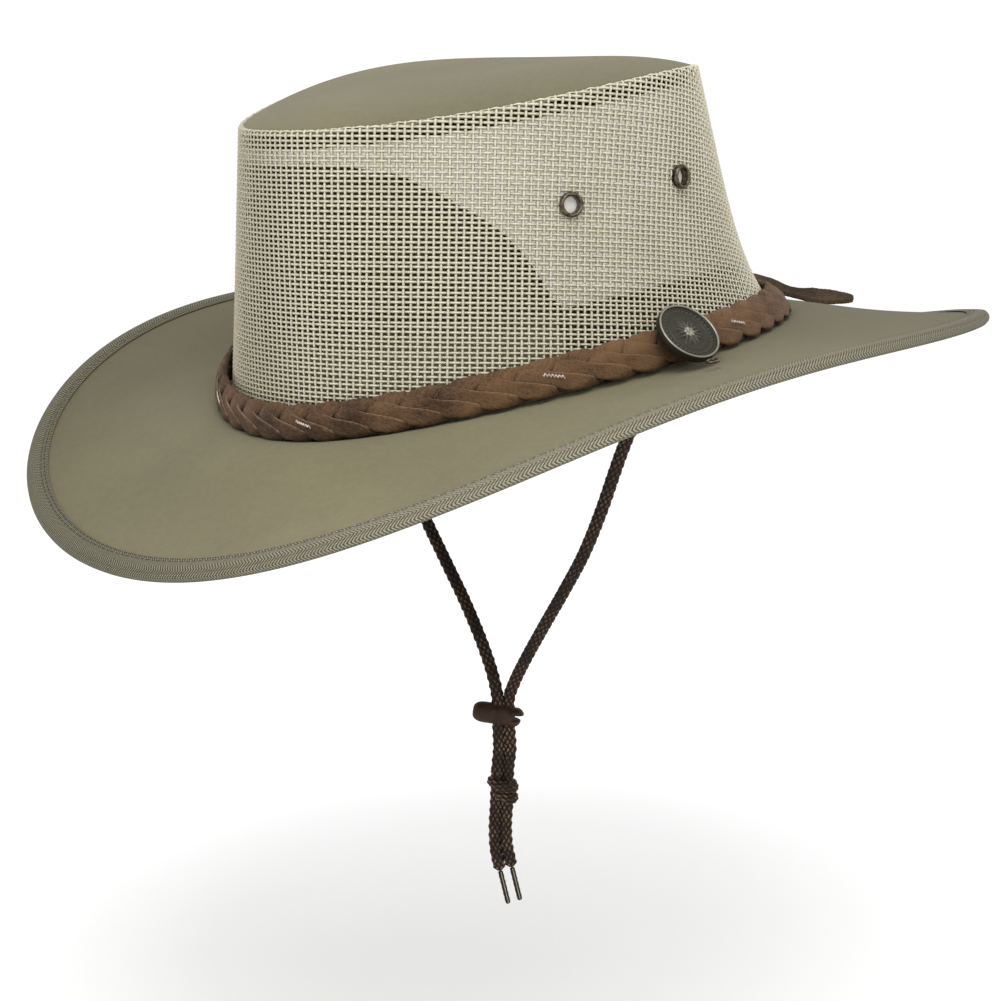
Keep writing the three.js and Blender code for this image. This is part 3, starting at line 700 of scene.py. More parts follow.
# %% [markdown]
# ## The hat's shape in formulas
# A bearing is the angle round the crown: 0 in front and a quarter turn at the wearer's left. The
# crown's foot is an ellipse, its top seam an egg, and the wall runs between them with a flared foot.
# Heights wave round the hat as sums of cosines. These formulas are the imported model's own, so the
# cloth lies on its solids.

# %% The hat's shape
FOOT_HALF_WIDTH, FOOT_HALF_LENGTH = 90, 106.1
TOP_HALF_WIDTH, TOP_HALF_LENGTH, TOP_FORWARD, TOP_WIDER_BEHIND = 76.8, 81, 11.1, 0.244
CROWN_HEIGHT, FLARE, FLARE_BEHIND = 94.9, 5.5, 1.1
DOME_RISE, DOME_POWER, DOME_SHARE, TOP_EDGE_DEPTH = 8.1, 4.65, 0.96, 3.1
BRIM_HALF_WIDTH, BRIM_HALF_LENGTH, BRIM_SQUARENESS, BRIM_THICKNESS = 159.3, 180.3, 0.016, 2
ROOT_HOLD, ROOT_POWER = 2.5, 4
FOOT_HEIGHTS = [1.1, 1.4, -5.2, -0.1, -0.6]
SEAM_HEIGHTS = [CROWN_HEIGHT, 1.6, -2.1, 1.3]
EDGE_HEIGHTS = [-7, 1.6, -20.1, -2, -1.05, 1.1]


def waved(sizes, bearing):
    """The sum of each size times the cosine of that many turns of the bearing."""
    return sum(size * np.cos(turns * bearing) for turns, size in enumerate(sizes))


def outward(bearing):
    """The level direction square to the foot's ellipse."""
    x, y = np.sin(bearing) * FOOT_HALF_LENGTH, -np.cos(bearing) * FOOT_HALF_WIDTH
    return unit(np.stack([x, y, np.zeros_like(x)], axis=-1))


def foot(bearing):
    """An ellipse: half width times the sine, half length times the cosine, at a waving height."""
    x, y = FOOT_HALF_WIDTH * np.sin(bearing), -FOOT_HALF_LENGTH * np.cos(bearing)
    return np.stack([x, y, waved(FOOT_HEIGHTS, bearing)], axis=-1)


def seam(bearing):
    """An egg: an ellipse whose width grows towards the back, set forward, at a waving height."""
    x = TOP_HALF_WIDTH * np.sin(bearing) * (1 - TOP_WIDER_BEHIND * np.cos(bearing))
    y = -TOP_HALF_LENGTH * np.cos(bearing) - TOP_FORWARD
    return np.stack([x, y, waved(SEAM_HEIGHTS, bearing)], axis=-1)


def wall(bearing, rise, depth=0.0):
    """The straight line from foot to seam at a share of its height, pulled in by the flare and by a
    depth. With l the share left above, the pull is flare (1 - l^4) l, and is largest behind."""
    bearing, rise, depth = np.broadcast_arrays(bearing, rise, depth)
    left = 1 - rise
    pull = FLARE * (1 - FLARE_BEHIND * np.cos(bearing)) * (1 - left**4) * left
    straight = foot(bearing) * left[..., None] + seam(bearing) * rise[..., None]
    return straight - outward(bearing) * (pull + depth)[..., None]


def brim_edge(bearing):
    """A slightly squared oval, high at the sides and low in front and behind."""
    corner = 1 - BRIM_SQUARENESS * np.cos(4 * bearing)
    x = BRIM_HALF_WIDTH * np.sin(bearing) * corner
    y = -BRIM_HALF_LENGTH * np.cos(bearing) * corner
    return np.stack([x, y, waved(EDGE_HEIGHTS, bearing)], axis=-1)


def brim_width(bearing):
    return np.linalg.norm((brim_edge(bearing) - foot(bearing))[..., :2], axis=-1)


def brim(bearing, out, lift=0.0):
    """The brim's middle sheet: straight in plan from foot to edge, while the height stays near the
    foot's at first: out - 2.5 out (1 - out)^4 of the way to the edge's, and level inside it."""
    bearing, out, lift = np.broadcast_arrays(bearing, out, lift)
    root, edge = foot(bearing), brim_edge(bearing)
    point = root * (1 - out)[..., None] + edge * out[..., None]
    past_root = np.maximum(out, 0)
    held = past_root - ROOT_HOLD * past_root * (1 - past_root) ** ROOT_POWER
    height = root[..., 2] + (edge - root)[..., 2] * held + lift - BRIM_THICKNESS / 2 * (1 - past_root)
    return np.stack([point[..., 0], point[..., 1], height], axis=-1)


def crown_top(bearing, out, drop=0.0):
    """A flat dome: level in the middle, down to the seam by the square of the way out, with a rise
    that falls away close to the seam."""
    bearing, out, drop = np.broadcast_arrays(bearing, out, drop)
    edge = seam(bearing) - outward(bearing) * TOP_EDGE_DEPTH
    middle = np.array([0, -TOP_FORWARD, CROWN_HEIGHT])
    point = middle * (1 - out)[..., None] + edge * out[..., None]
    level = edge[..., 2] * out**2 + CROWN_HEIGHT * (1 - out**2)
    height = level + DOME_RISE * (1 - (out * DOME_SHARE) ** DOME_POWER) - drop
    return np.stack([point[..., 0], point[..., 1], height], axis=-1)


def bearings(count, first=0.0, last=360.0):
    """Bearings in a column, right round without the last one twice, or from first to last."""
    whole = last - first == 360
    degrees = np.linspace(first, last, count, endpoint=not whole)
    return np.radians(degrees)[:, None]


def sheet(rows, skin, size, count=240, first=0.0, last=360.0):
    """A cloth wall in one closed grid, right round or from first to last: its outer face over the
    stations 0 to 1, then its inner face back. skin(bearing, station, side) gives a point, with side 0
    outside and 1 inside."""
    round_it, station = bearings(count, first, last), np.linspace(0, 1, rows)[None]
    faces = [skin(round_it, station, 0.0), skin(round_it, station[:, ::-1], 1.0)]
    return Shape().add(np.concatenate(faces, axis=1), closed=(last - first == 360, True), size=size)


print(f"foot to seam at the side: {(wall(np.pi / 2, 1) - wall(np.pi / 2, 0))[2]:.1f} mm")

# %% [markdown]
# ## Net of the crown, laid flat
# The wall of the crown is an open net, a plain weave of coated yarn. It is cut flat and wrapped round
# a cone, so only in front do its rows run level with the crown's foot: further round, the rows stay
# straight in the cloth and come down towards the foot. To get that, the wall is unrolled. Its
# strips between neighbouring bearings are laid side by side in a plane, with every length kept, and
# the angles come from the law of cosines. A grid could be stretched round the crown instead, which
# is simpler, but then each row would follow the foot, as no cut cloth does.

# %% Net laid flat
NET_DEPTH = 0.7
EYELET_BEARINGS = {"left_front": 75, "left_rear": 105, "right_front": -75, "right_rear": -105}
EYELET_RISE = 0.635
# Bearings stay within these of the front: a little past the middle of the back, which is at pi
FIRST_WITHIN, LATER_WITHIN = 3.4, 3.45
NEWTON_ROUNDS = 8


def corner(near, far, opposite):
    """The angle between two sides of a triangle whose third side is given: law of cosines."""
    return np.arccos(np.clip((near**2 + far**2 - opposite**2) / (2 * near * far), -1, 1))


def distance(a, b):
    return np.linalg.norm(a - b, axis=-1)


BACK = 360  # the half degree that lies at the middle of the back
half_round = np.radians(np.arange(0, 200.5, 0.5))
low, high = wall(half_round, 0.0, NET_DEPTH), wall(half_round, 1.0, NET_DEPTH)
steps, slants, upright = distance(low[1:], low[:-1]), distance(high[:-1], low[1:]), distance(low, high)
ahead = corner(steps, upright[:-1], slants)
behind = corner(steps, slants, upright[:-1]) + corner(slants, upright[1:], distance(high[1:], high[:-1]))
heading = np.pi / 2 - ahead[0] + np.concatenate([[0], np.cumsum(np.pi - behind[:-1] - ahead[1:])])
low_flat = np.zeros((len(low), 2))
low_flat[1:] = np.cumsum(steps[:, None] * np.stack([np.cos(heading), np.sin(heading)], -1), axis=0)
lean = np.append(heading + ahead, heading[-1] + np.pi - behind[-1])
high_flat = low_flat + upright[:, None] * np.stack([np.cos(lean), np.sin(lean)], -1)
all_round = np.concatenate([-half_round[:0:-1], half_round])
mirrored = [np.concatenate([edge[:0:-1] * (-1, 1), edge]) for edge in (low_flat, high_flat)]
print(f"the foot turns {math.degrees(heading[BACK]):.0f} degrees from front to back in the flat net")


def flat_edges(bearing):
    """The flat net's lower and upper edge at a bearing."""
    edges = [[np.interp(bearing, all_round, edge[:, k]) for k in (0, 1)] for edge in mirrored]
    return (np.stack(edge, axis=-1) for edge in edges)


def wrapped(across, upward):
    """Bearing and rise at which a place of the flat net lands, by Newton's method: the place's error
    is shared out between the two directions in which bearing and rise move it."""
    radius, step = np.sum(steps[:BACK]) / heading[BACK], 0.01
    bearing = np.arctan2(across, radius - upward) / heading[BACK] * np.pi
    bearing = np.clip(bearing, -FIRST_WITHIN, FIRST_WITHIN)
    rise = (radius - np.hypot(across, radius - upward)) / upright.mean()
    for _ in range(NEWTON_ROUNDS):
        bottom, top = flat_edges(bearing)
        ahead_bottom, ahead_top = flat_edges(bearing + step)
        by_rise = top - bottom
        here = bottom + by_rise * rise[..., None]
        by_bearing = ((ahead_bottom + (ahead_top - ahead_bottom) * rise[..., None]) - here) / step
        error = np.stack([across, upward], axis=-1) - here
        spread = by_bearing[..., 0] * by_rise[..., 1] - by_bearing[..., 1] * by_rise[..., 0]
        bearing = bearing + (error[..., 0] * by_rise[..., 1] - error[..., 1] * by_rise[..., 0]) / spread
        rise = rise + (by_bearing[..., 0] * error[..., 1] - by_bearing[..., 1] * error[..., 0]) / spread
        bearing = np.clip(bearing, -LATER_WITHIN, LATER_WITHIN)
    return bearing, rise


# %% [markdown]
# ## Net of the crown, woven
# Each upright yarn passes in front of one level yarn and behind the next. A net can be faked with a
# see-through picture, but its shadow and its edge would be flat. Here every yarn is a real strand
# with a three-sided section, its ridge outside, and its place in front or behind is a wave that turns
# over at each crossing. At the top of the wall the net is folded over, so past the seam it curls
# round a small circle. The eyelets' holes are punched, so yarns simply end there. Its lower end stops
# behind the plaited band. The yarn is coated. Where it stands proud it gets a painted highlight, and
# where it goes behind, painted shade. Towards the front right corner it is painted a touch darker,
# as painted shade.

# %% Net woven
COLUMN_PITCH, ROW_PITCH = 2.41, 1.585
WEAVE_WAVE = 0.19
LEVEL_YARN = (0.46, 0.27)
UPRIGHT_YARN = (0.51, 0.27)
NET_FOOT = 0.027
FOLD_RADIUS = 0.95
FOLD_TURN = math.radians(205)
EYELET_HOLE, HOLE_REACH = 3.1, 10


def net_skin(bearing, rise):
    """The net's middle surface: up the wall, and past the seam round the fold by the length left."""
    on_wall = wall(bearing, np.minimum(rise, 1.0), NET_DEPTH)
    turn = np.maximum(rise - 1, 0) * np.mean(upright) / FOLD_RADIUS
    side, up = FOLD_RADIUS * (np.cos(turn) - 1), FOLD_RADIUS * np.sin(turn)
    return on_wall + outward(bearing) * side[..., None] + UP * up[..., None]


def eyelet_frame(place):
    """An eyelet's middle on the wall, and the direction square to the wall there."""
    bearing, step = math.radians(EYELET_BEARINGS[place]), 0.02
    here = wall(bearing, EYELET_RISE)
    around = wall(bearing + step, EYELET_RISE) - wall(bearing - step, EYELET_RISE)
    upward = wall(bearing, EYELET_RISE + step) - wall(bearing, EYELET_RISE - step)
    return here, unit(np.cross(around, upward))


def net_places(across, upward):
    """Places of the flat net on the crown: the point, the direction out of the net, and whether the
    net is there at all, which it isn't past its edges or in an eyelet's hole."""
    bearing, rise = wrapped(*np.broadcast_arrays(across, upward))
    here, step = net_skin(bearing, rise), 0.004
    round_it = net_skin(bearing + step, rise) - net_skin(bearing - step, rise)
    upwards = net_skin(bearing, rise + step) - net_skin(bearing, rise - step)
    past = 1 + FOLD_TURN * FOLD_RADIUS / np.mean(upright)
    inside = (rise >= NET_FOOT) & (rise <= past) & (np.abs(bearing) <= np.pi)
    for place in EYELET_BEARINGS:
        middle, normal = eyelet_frame(place)
        away = here - middle
        through = away @ normal
        flat = np.linalg.norm(away - through[..., None] * normal, axis=-1)
        inside &= (flat > EYELET_HOLE) | (np.abs(through) > HOLE_REACH)
    return here, unit(np.cross(round_it, upwards)), inside


def woven(across, upward, over, section, tint):
    """Strands of the net, one a row. Each is moved out or in by the weave's wave, and gets a section
    of three corners: a ridge in front, and half its width to either side a little further in."""
    here, through, inside = net_places(across, upward)
    middle = here + through * (WEAVE_WAVE * over)[..., None]
    flatwise = unit(np.cross(through, np.gradient(middle, axis=1)))
    wide, thick = section
    ring = np.stack([
        flatwise * wide - through * thick / 2,
        through * thick,
        -flatwise * wide - through * thick / 2,
    ], axis=-2)
    return Shape().add_strands(middle[:, :, None] + ring, inside, tint, 0.5 + 0.5 * over)


reach_across = math.ceil(np.abs(low_flat[: BACK + 1, 0]).max() / COLUMN_PITCH)
reach_upward = math.ceil(high_flat[: BACK + 1, 1].max() / ROW_PITCH) + 3
column, row = np.arange(-reach_across, reach_across + 1), np.arange(reach_upward)
# Twice as many samples as crossings, and over = 1 or -1 at a crossing, 0 between two
half_column, half_row = np.arange(-2 * reach_across, 2 * reach_across + 1), np.arange(2 * reach_upward)
level_over = np.cos(half_column * np.pi / 2)[None] * (-1.0) ** row[:, None]
upright_over = -np.cos(half_row * np.pi / 2)[None] * (-1.0) ** column[:, None]
wander = 0.12 * np.sin(row * 2.1)[:, None] + rng.normal(0, 0.05, (len(row), 1))
net_weft = woven(
    half_column[None] / 2 * COLUMN_PITCH,
    row[:, None] * ROW_PITCH + wander * np.sin(half_column / 21)[None],
    level_over, LEVEL_YARN, rng.random((len(row), 1)),
)
wander = rng.normal(0, 0.09, (len(column), 1))
net_warp = woven(
    column[:, None] * COLUMN_PITCH + wander * np.cos(half_row / 17)[None],
    half_row[None] / 2 * ROW_PITCH,
    upright_over, UPRIGHT_YARN, rng.random((len(column), 1)),
)

net_yarn = Finish("net_yarn", Roughness=0.36, Specular_IOR_Level=0.5)
shade = net_yarn.mark("tint") * 0.5 + net_yarn.noise(60, 2.0) * 0.5
# Painted highlight where the yarn stands proud, painted shade where it goes behind
lit_where_proud = net_yarn.mark("relief").within(0.0, 0.8)
# Painted shade: the yarn is painted darker towards the front right corner
held = 1 - net_yarn.to_the_right().within(-0.093, -0.062)
net_colour = net_yarn.mix(lit_where_proud, (174, 167, 145), net_yarn.mix(shade, (192, 186, 162), (213, 208, 186)))
net_yarn.paint(held, net_colour, (172, 165, 141))
net_yarn.bump(net_yarn.noise(3200, 2.0), 0.06, 0.4)
add_piece("crown_net_weft", net_weft, net_yarn, ["crown_net"])
add_piece("crown_net_warp", net_warp, net_yarn, ["crown_net"])

# %% [markdown]
# ## Core of the fold and the back seam
# The folded edge of the net holds a thin cord of cloth, so no light comes through it. At the middle
# of the back, where the net's two ends meet, a narrow stitched tape covers them.

# %% Core and back seam
SEAM_TAPE_WIDTH, SEAM_TAPE_THICKNESS = 4.5, 0.5
CORE_RADIUS = FOLD_RADIUS - 0.35
round_it, turn = bearings(240), full_turn(8)
core_points = moved(
    seam(round_it),
    (CORE_RADIUS * np.cos(turn) - NET_DEPTH - FOLD_RADIUS, outward(round_it)),
    (CORE_RADIUS * np.sin(turn), UP),
)
fold_core = Shape().add(core_points, closed=(True, True), size=(560, 4))
fold_cloth = Finish("fold_cloth", Roughness=0.7)
tone = fold_cloth.noise(900, 3.0)
fold_cloth.paint(tone, (112, 105, 84), (138, 130, 108))
fold_cloth.bump(tone, 0.2)
add_piece("crown_fold_core", fold_core, fold_cloth, ["crown_rim"])

# The tape's section, in half widths across and half thicknesses out
across = np.array([-1, -0.6, 0, 0.6, 1, 1, 0.6, 0, -0.6, -1]) * SEAM_TAPE_WIDTH / 2
outside = np.array([0, 1, 1, 1, 0, -1, -1, -1, -1, -1]) * SEAM_TAPE_THICKNESS / 2
back = wall(np.pi, np.linspace(0, 1.005, 60)[:, None], NET_DEPTH - 0.75)
tape_points = moved(back, (-across, np.array([1.0, 0, 0])), (outside, outward(np.pi)))
add_piece("crown_back_seam", Shape().add(tape_points, size=(95, 12)), net_yarn)

# %% [markdown]
# ## Canvas
# The top and the brim are close-woven cotton canvas with a dry, waxed hand. At this size the weave
# is only a faint grain, so it lives in the material: two crossed waves half a millimetre apart, a
# finer noise that breaks them up, and broad soft clouds where the cloth has been handled. The brim
# carries painted shade: it is painted darker the further it is from a place in front on the
# wearer's left.

# %% Canvas
THREAD_PITCH = 0.55
LEAST_SHADED_PLACE = (0.08, -0.105, 0.0)


def canvas_finish(name, dark, light, shade=0.0):
    """A matt cloth: threads both ways as sines of the place, broken by noise, under broad clouds, and
    painted shade, a darker brown that grows with the distance from the least shaded place."""
    made = Finish(name, Roughness=0.86, Specular_IOR_Level=0.22, Sheen_Weight=0.08, Sheen_Roughness=0.6)
    x, y, _ = made.parts(made.place())
    thread = 2 * np.pi / (THREAD_PITCH * MM)
    weave = (x * thread).sine() * (y * thread).sine()
    grain = made.noise(1500, 4.0, 0.65)
    cloud = made.noise(16, 3.0, 0.5)
    fleck = made.noise(380, 2.0, 0.6)
    tone = cloud * 0.55 + grain * 0.3 + fleck * 0.25
    made.colour = made.mix(tone.within(0.32, 0.78), dark, light)
    # Painted shade: darker brown with the distance from the least shaded place
    shaded = made.away_from(LEAST_SHADED_PLACE).within(0.05, 0.24) * shade
    made.colour = made.mix(shaded, made.colour, (46, 39, 20))
    made.feed("Base Color", made.colour)
    made.feed("Roughness", 0.8 + 0.12 * cloud)
    made.bump(weave * 0.5 + grain, 0.09, 0.55)
    made.bump(made.noise(45, 2.0), 0.5, 0.35)
    return made


canvas = canvas_finish("canvas", (99, 94, 70), (115, 109, 83))
# The brim gets painted shade away from the least shaded place
brim_canvas = canvas_finish("brim_canvas", (103, 98, 72), (120, 114, 85), 0.52)

# %% [markdown]
# ## Top of the crown
# The top is a flat oval of canvas with a slight dome. It is a grid of rings from a middle point out
# to the seam, closed below by the same rings a cloth's thickness lower.

# %% Top of the crown
TOP_THICKNESS, TOP_TUCK, TOP_LIFT, TOP_EDGE = 1.0, 1.7, 0.35, 0.6
out = np.concatenate([np.linspace(0.004, 0.9, 26), np.linspace(0.92, 1.0, 8)])
around = bearings(220).T
tucked_in = seam(around) - outward(around) * TOP_TUCK + UP * TOP_LIFT
top = Shape().add(np.concatenate([
    crown_top(around, out[:, None]),
    tucked_in,
    tucked_in - UP * TOP_EDGE,
    crown_top(around, out[::-1, None], TOP_THICKNESS),
]), size=(160, 400))
add_piece("crown_top_cloth", top, canvas, ["crown_top"])

# %% [markdown]
# ## Layers behind the net
# Three cloths show through the net's holes: a pale panel that hangs from the top seam, high in front
# and low at the sides, a canvas band that stands on the forehead, and a dark lining behind both. The
# lining's dark colour is painted shade for the inside of the crown. Each is a cloth wall between two
# heights, and the panel's lower edge comes from a short table. The canvas band has painted shade: it
# is painted darker towards its top, where it lies deeper in the shade.

# %% Layers behind the net
PANEL_DEPTH, FOREHEAD_DEPTH, LINING_DEPTH = 1.35, 1.8, 5.1
CLOTH, PANEL_CLOTH = 1.0, 0.8
PANEL_TOP, LINING_TOP, LINING_FOOT = 0.95, 0.985, -0.008
FOREHEAD_END, FOREHEAD_LEAN = 66.4, 1.1
FOREHEAD_HEIGHT, FOREHEAD_RISE, FOREHEAD_WAVES = 26.5, 8, 1.3
PANEL_FOOT = np.array([  # degrees from the front and share of the wall's height
    (0, 0.905), (18, 0.905), (30, 0.88), (41, 0.84), (51, 0.73), (57, 0.64), (60.5, 0.575), (63, 0.5),
    (65, 0.42), (66.5, 0.33), (68, 0.285), (90, 0.275), (126, 0.255), (180, 0.25),
])


def panel_skin(bearing, station, side):
    """The wall between the panel's foot, read from its table, and its top, at the panel's depth."""
    degrees = np.degrees(np.abs((bearing + np.pi) % (2 * np.pi) - np.pi))
    low = np.interp(degrees, *PANEL_FOOT.T)
    return wall(bearing, low + (PANEL_TOP - low) * station, PANEL_DEPTH + side * PANEL_CLOTH)


def forehead_skin(bearing, station, side):
    """The wall from its foot to a height that is greatest in front, leaning in towards its top."""
    high = (FOREHEAD_HEIGHT + FOREHEAD_RISE * np.cos(bearing * FOREHEAD_WAVES)) / CROWN_HEIGHT
    return wall(bearing, high * station, FOREHEAD_DEPTH + side * CLOTH + FOREHEAD_LEAN * station)


def lining_skin(bearing, station, side):
    """The wall from just below its foot almost up to the seam, at the lining's depth."""
    rise = LINING_FOOT + (LINING_TOP - LINING_FOOT) * station
    return wall(bearing, rise, LINING_DEPTH + side * CLOTH)


pale_cloth = Finish("pale_cloth", Roughness=0.85, Specular_IOR_Level=0.2)
tone = pale_cloth.noise(30, 3.0) * 0.7 + pale_cloth.noise(1400, 2.0) * 0.3
pale_cloth.paint(tone.within(0.3, 0.7), (228, 226, 218), (246, 245, 240))
pale_cloth.bump(pale_cloth.noise(1600, 3.0), 0.1, 0.5)
panel = sheet(20, panel_skin, (560, 80), 480)
add_piece("crown_panel_cloth", panel, pale_cloth, ["crown_panel"])

khaki = canvas_finish("khaki_cloth", (104, 97, 70), (128, 120, 92))
# Painted shade: the band is painted darker towards its top
khaki.paint(khaki.along()[1].within(22, 34), khaki.colour, (64, 55, 39))
forehead = sheet(14, forehead_skin, (230, 70), 160, -FOREHEAD_END, FOREHEAD_END)
add_piece("forehead_band_cloth", forehead, khaki, ["forehead_band"])

dark_cloth = Finish("dark_cloth", Roughness=0.9, Specular_IOR_Level=0.15)
tone = dark_cloth.noise(700, 3.0)
# Painted shade: the lining is painted dark for the shade inside the crown
dark_cloth.paint(tone.within(0.3, 0.7), (56, 47, 33), (82, 71, 50))
dark_cloth.bump(tone, 0.1, 0.5)
lining = sheet(24, lining_skin, (560, 190))
add_piece("crown_lining_cloth", lining, dark_cloth, ["crown_lining"])

# %% [markdown]
# ## Sweatband
# Inside the head opening runs a strip of smooth brown leather. It is a cloth wall too, a little
# thicker, with its edges rounded and a line of pale stitches above the lower one.

# %% Sweatband
SWEATBAND_DEPTH, SWEATBAND_THICKNESS, SWEATBAND_LIFT, SWEATBAND_HEIGHT = 6.5, 1.4, 1.9, 30
SWEATBAND_GIRTH, SWEATBAND_ROW, SWEATBAND_STITCH = 62, 58.5, 3.4


def sweatband_skin(bearing, station, side):
    """The wall between two heights, thinner at either edge, where the leather is rounded."""
    rise = (SWEATBAND_LIFT + (SWEATBAND_HEIGHT - SWEATBAND_LIFT) * station) / CROWN_HEIGHT
    half = SWEATBAND_THICKNESS / 2
    thick = half * (0.35 + 0.65 * rounded_ends(station, 0.025))
    return wall(bearing, rise, SWEATBAND_DEPTH + half + (2 * side - 1) * thick)


leather = Finish("sweat_leather", Roughness=0.5, Specular_IOR_Level=0.45)
grain = {"Vector": leather.place(), "Scale": 900}
cells = leather.node("TexVoronoi", {"feature": "DISTANCE_TO_EDGE"}, grain)
tone = leather.noise(40, 4.0)
u, v = leather.along()
stitch = stitched(u, v - SWEATBAND_ROW, SWEATBAND_STITCH, (0.2, 0.36), (0.28, 0.36))
leather.paint(stitch, leather.mix(tone.within(0.3, 0.7), (66, 46, 30), (88, 62, 41)), (158, 136, 104))
leather.feed("Roughness", 0.4 + 0.25 * tone)
leather.bump(cells.within(0.0, 0.25), 0.12, 0.6)
sweatband = sheet(30, sweatband_skin, (560, SWEATBAND_GIRTH))
add_piece("sweatband_leather", sweatband, leather, ["sweatband"])

# %% [markdown]
# ## Brim
# The brim is one wide sheet of canvas, two millimetres thick, that hangs from the crown's foot and
# turns up at the sides. Its middle surface is a formula of the bearing and the way out.

# %% Brim
TAPE_WIDTH, TAPE_THICKNESS, TAPE_CLEAR = 8.5, 0.7, 0.45
ROOT_UNDER, EDGE_GAP = 6.7, 0.3


def brim_skin(bearing, station, side):
    """The brim's sheet, from under the linings, which are sewn to it, out to just inside the tape's
    fold."""
    width = brim_width(bearing)
    low, high = (side * 0.2 - ROOT_UNDER) / width, 1 - (TAPE_THICKNESS + EDGE_GAP) / width
    return brim(bearing, low + (high - low) * station, (0.5 - side) * BRIM_THICKNESS)


brim_cloth = sheet(36, brim_skin, (900, 150), 320)
add_piece("brim_cloth", brim_cloth, brim_canvas, ["brim"])

# %% [markdown]
# ## Binding
# A herringbone tape is folded over the brim's edge and sewn down. Its section is a U that wraps the
# edge, and the tape's twill ribs run slantwise in two rows that meet in a point. The ribs are too
# fine to model as yarns, so they are a wave in the tape's own UV map, with the length along the edge
# as one number and the way across the tape as the other. The way across is folded into a zigzag, and
# the wave is shifted by it, so the ribs lean one way and then the other. Two rows of dark stitches
# near either hem are drawn in the same map. The tape has painted shade: like the brim's canvas it is
# painted darker away from the least shaded place, and also along its fold and on the wearer's right.
# There the ribs keep their contrast, because only their paint is darker.

# %% Binding
TAPE_STEPS, FOLD_BULGE = 640, 0.55
RIB_PITCH, RIB_ROWS, RIB_SLANT = 1.25, 4.2, 1.1
ROWS_FROM_HEM, ROWS_HALF_APART, TAPE_STITCH = 1.6, 0.55, 3.1


def tape_section(bearing, station, lift):
    """The U wrapped round the edge: from the upper hem out to the fold, half round it, and back
    along the lower side. lift is the height over the tape's inner face."""
    bend = BRIM_THICKNESS / 2 + TAPE_CLEAR + lift
    leg = (TAPE_WIDTH - bend) / (2 * TAPE_WIDTH + 1.0)
    along_leg = np.clip(np.minimum(station, 1 - station) / leg, 0, 1)
    turn = np.clip((station - leg) / (1 - 2 * leg), 0, 1) * np.pi
    from_hem = (TAPE_WIDTH - bend) * along_leg + FOLD_BULGE * bend * np.sin(turn)
    return brim(bearing, 1 - (TAPE_WIDTH - from_hem) / brim_width(bearing), bend * np.cos(turn))


round_it, across = bearings(TAPE_STEPS), np.linspace(0, 1, 22)[None]
outer_face = tape_section(round_it, across, TAPE_THICKNESS * rounded_ends(across, 1 / 18))
inner_face = tape_section(round_it, across[:, ::-1], 0.0)
tape_length = length_of(brim_edge(round_it[:, 0]))
binding = Shape().add(
    np.concatenate([outer_face, inner_face], axis=1),
    closed=(True, True),
    size=(tape_length, 4 * TAPE_WIDTH),
)
print(f"tape: {tape_length:.0f} mm")

tape = Finish("tape", Roughness=0.78, Specular_IOR_Level=0.3)
u, v = tape.along()
zigzag = ((v / RIB_ROWS).fraction() - 0.5).size() * RIB_ROWS
rib = ((u + zigzag * RIB_SLANT) * (2 * np.pi / RIB_PITCH)).sine() * 0.5 + 0.5
yarn = ((v * (2 * np.pi / THREAD_PITCH)).sine() * 0.5 + 0.5) * 0.25 + rib * 0.75
tone = yarn * 0.62 + tape.noise(1800, 2.0) * 0.38
cloth = tape.mix(tone.within(0.22, 0.83), (72, 68, 52), (166, 161, 141))
from_hem = (v - TAPE_WIDTH).size() * -1 + TAPE_WIDTH
# Painted shade along the tape's fold
cloth = tape.mix(from_hem.within(TAPE_WIDTH * 0.55, TAPE_WIDTH) * 0.45, cloth, (86, 79, 56))
# Painted shade like the brim's, away from the least shaded place
cloth = tape.mix(tape.away_from(LEAST_SHADED_PLACE).within(0.05, 0.25) * 0.55, cloth, (58, 54, 34))
# Painted shade on the wearer's right: darker paint that keeps the ribs' contrast
shaded_cloth = tape.mix(tone.within(0.32, 0.72), (32, 30, 19), (124, 120, 97))
held = 1 - tape.to_the_right().within(-0.15, 0.0)
cloth = tape.mix(held * 0.85, cloth, shaded_cloth)
off_row = (from_hem - ROWS_FROM_HEM).size() - ROWS_HALF_APART
stitch = stitched(u, off_row, TAPE_STITCH, (0.12, 0.28), (0.3, 0.38))
tape.paint(stitch, cloth, (58, 54, 42))
tape.bump(yarn - stitch * 0.6, 0.26, 0.9)
add_piece("brim_binding_tape", binding, tape, ["brim_binding"])

# %% [markdown]
# ## Plaited band
# The band is a flat plait of three suede strips. In a plait each strip swings from edge to edge, and
# the three do the same a third of a swing apart. Here each strip comes down slowly, as a long leaf on
# top, folds over the lower edge, and goes back up steeply behind its neighbours. Three tubes on a
# zigzag would leave gaps and look like rope. Instead each strip is a sheet that follows the swing
# across its width too: at one place on the band its two edges are at an earlier and a later phase.

# %% Plaited band
BAND_HALF_WIDTH, BAND_HALF_THICKNESS, BAND_STAND_OFF = 6.4, 2.5, 0.8
BAND_RISE, BAND_WIDER_BEHIND, BAND_LOWER_BEHIND = 0.072, 1.1, 0.016
STRIP_SWINGS, STRIP_SAMPLES = 17, 42
STRIP_SHARE, STRIP_SKEW, STRIP_SHARPNESS = math.radians(67), 0.55, 0.97
STRIP_REACH, STRIP_SCALLOP = 5.8, 0.8
STRIP_CLIMB, STRIP_TILT, STRIP_HALF_THICKNESS = 1.3, 0.45, 0.68
STRIP_BIAS, STRIP_HOLD, STRIP_HUG, STRIP_FLATNESS = 1.25, 0.6, 0.9, 1.8
UNEVEN_WAVES = [(0.07, 7, 2.1), (0.05, 19, 1.3)]  # size, waves round the hat, shift from strip to strip


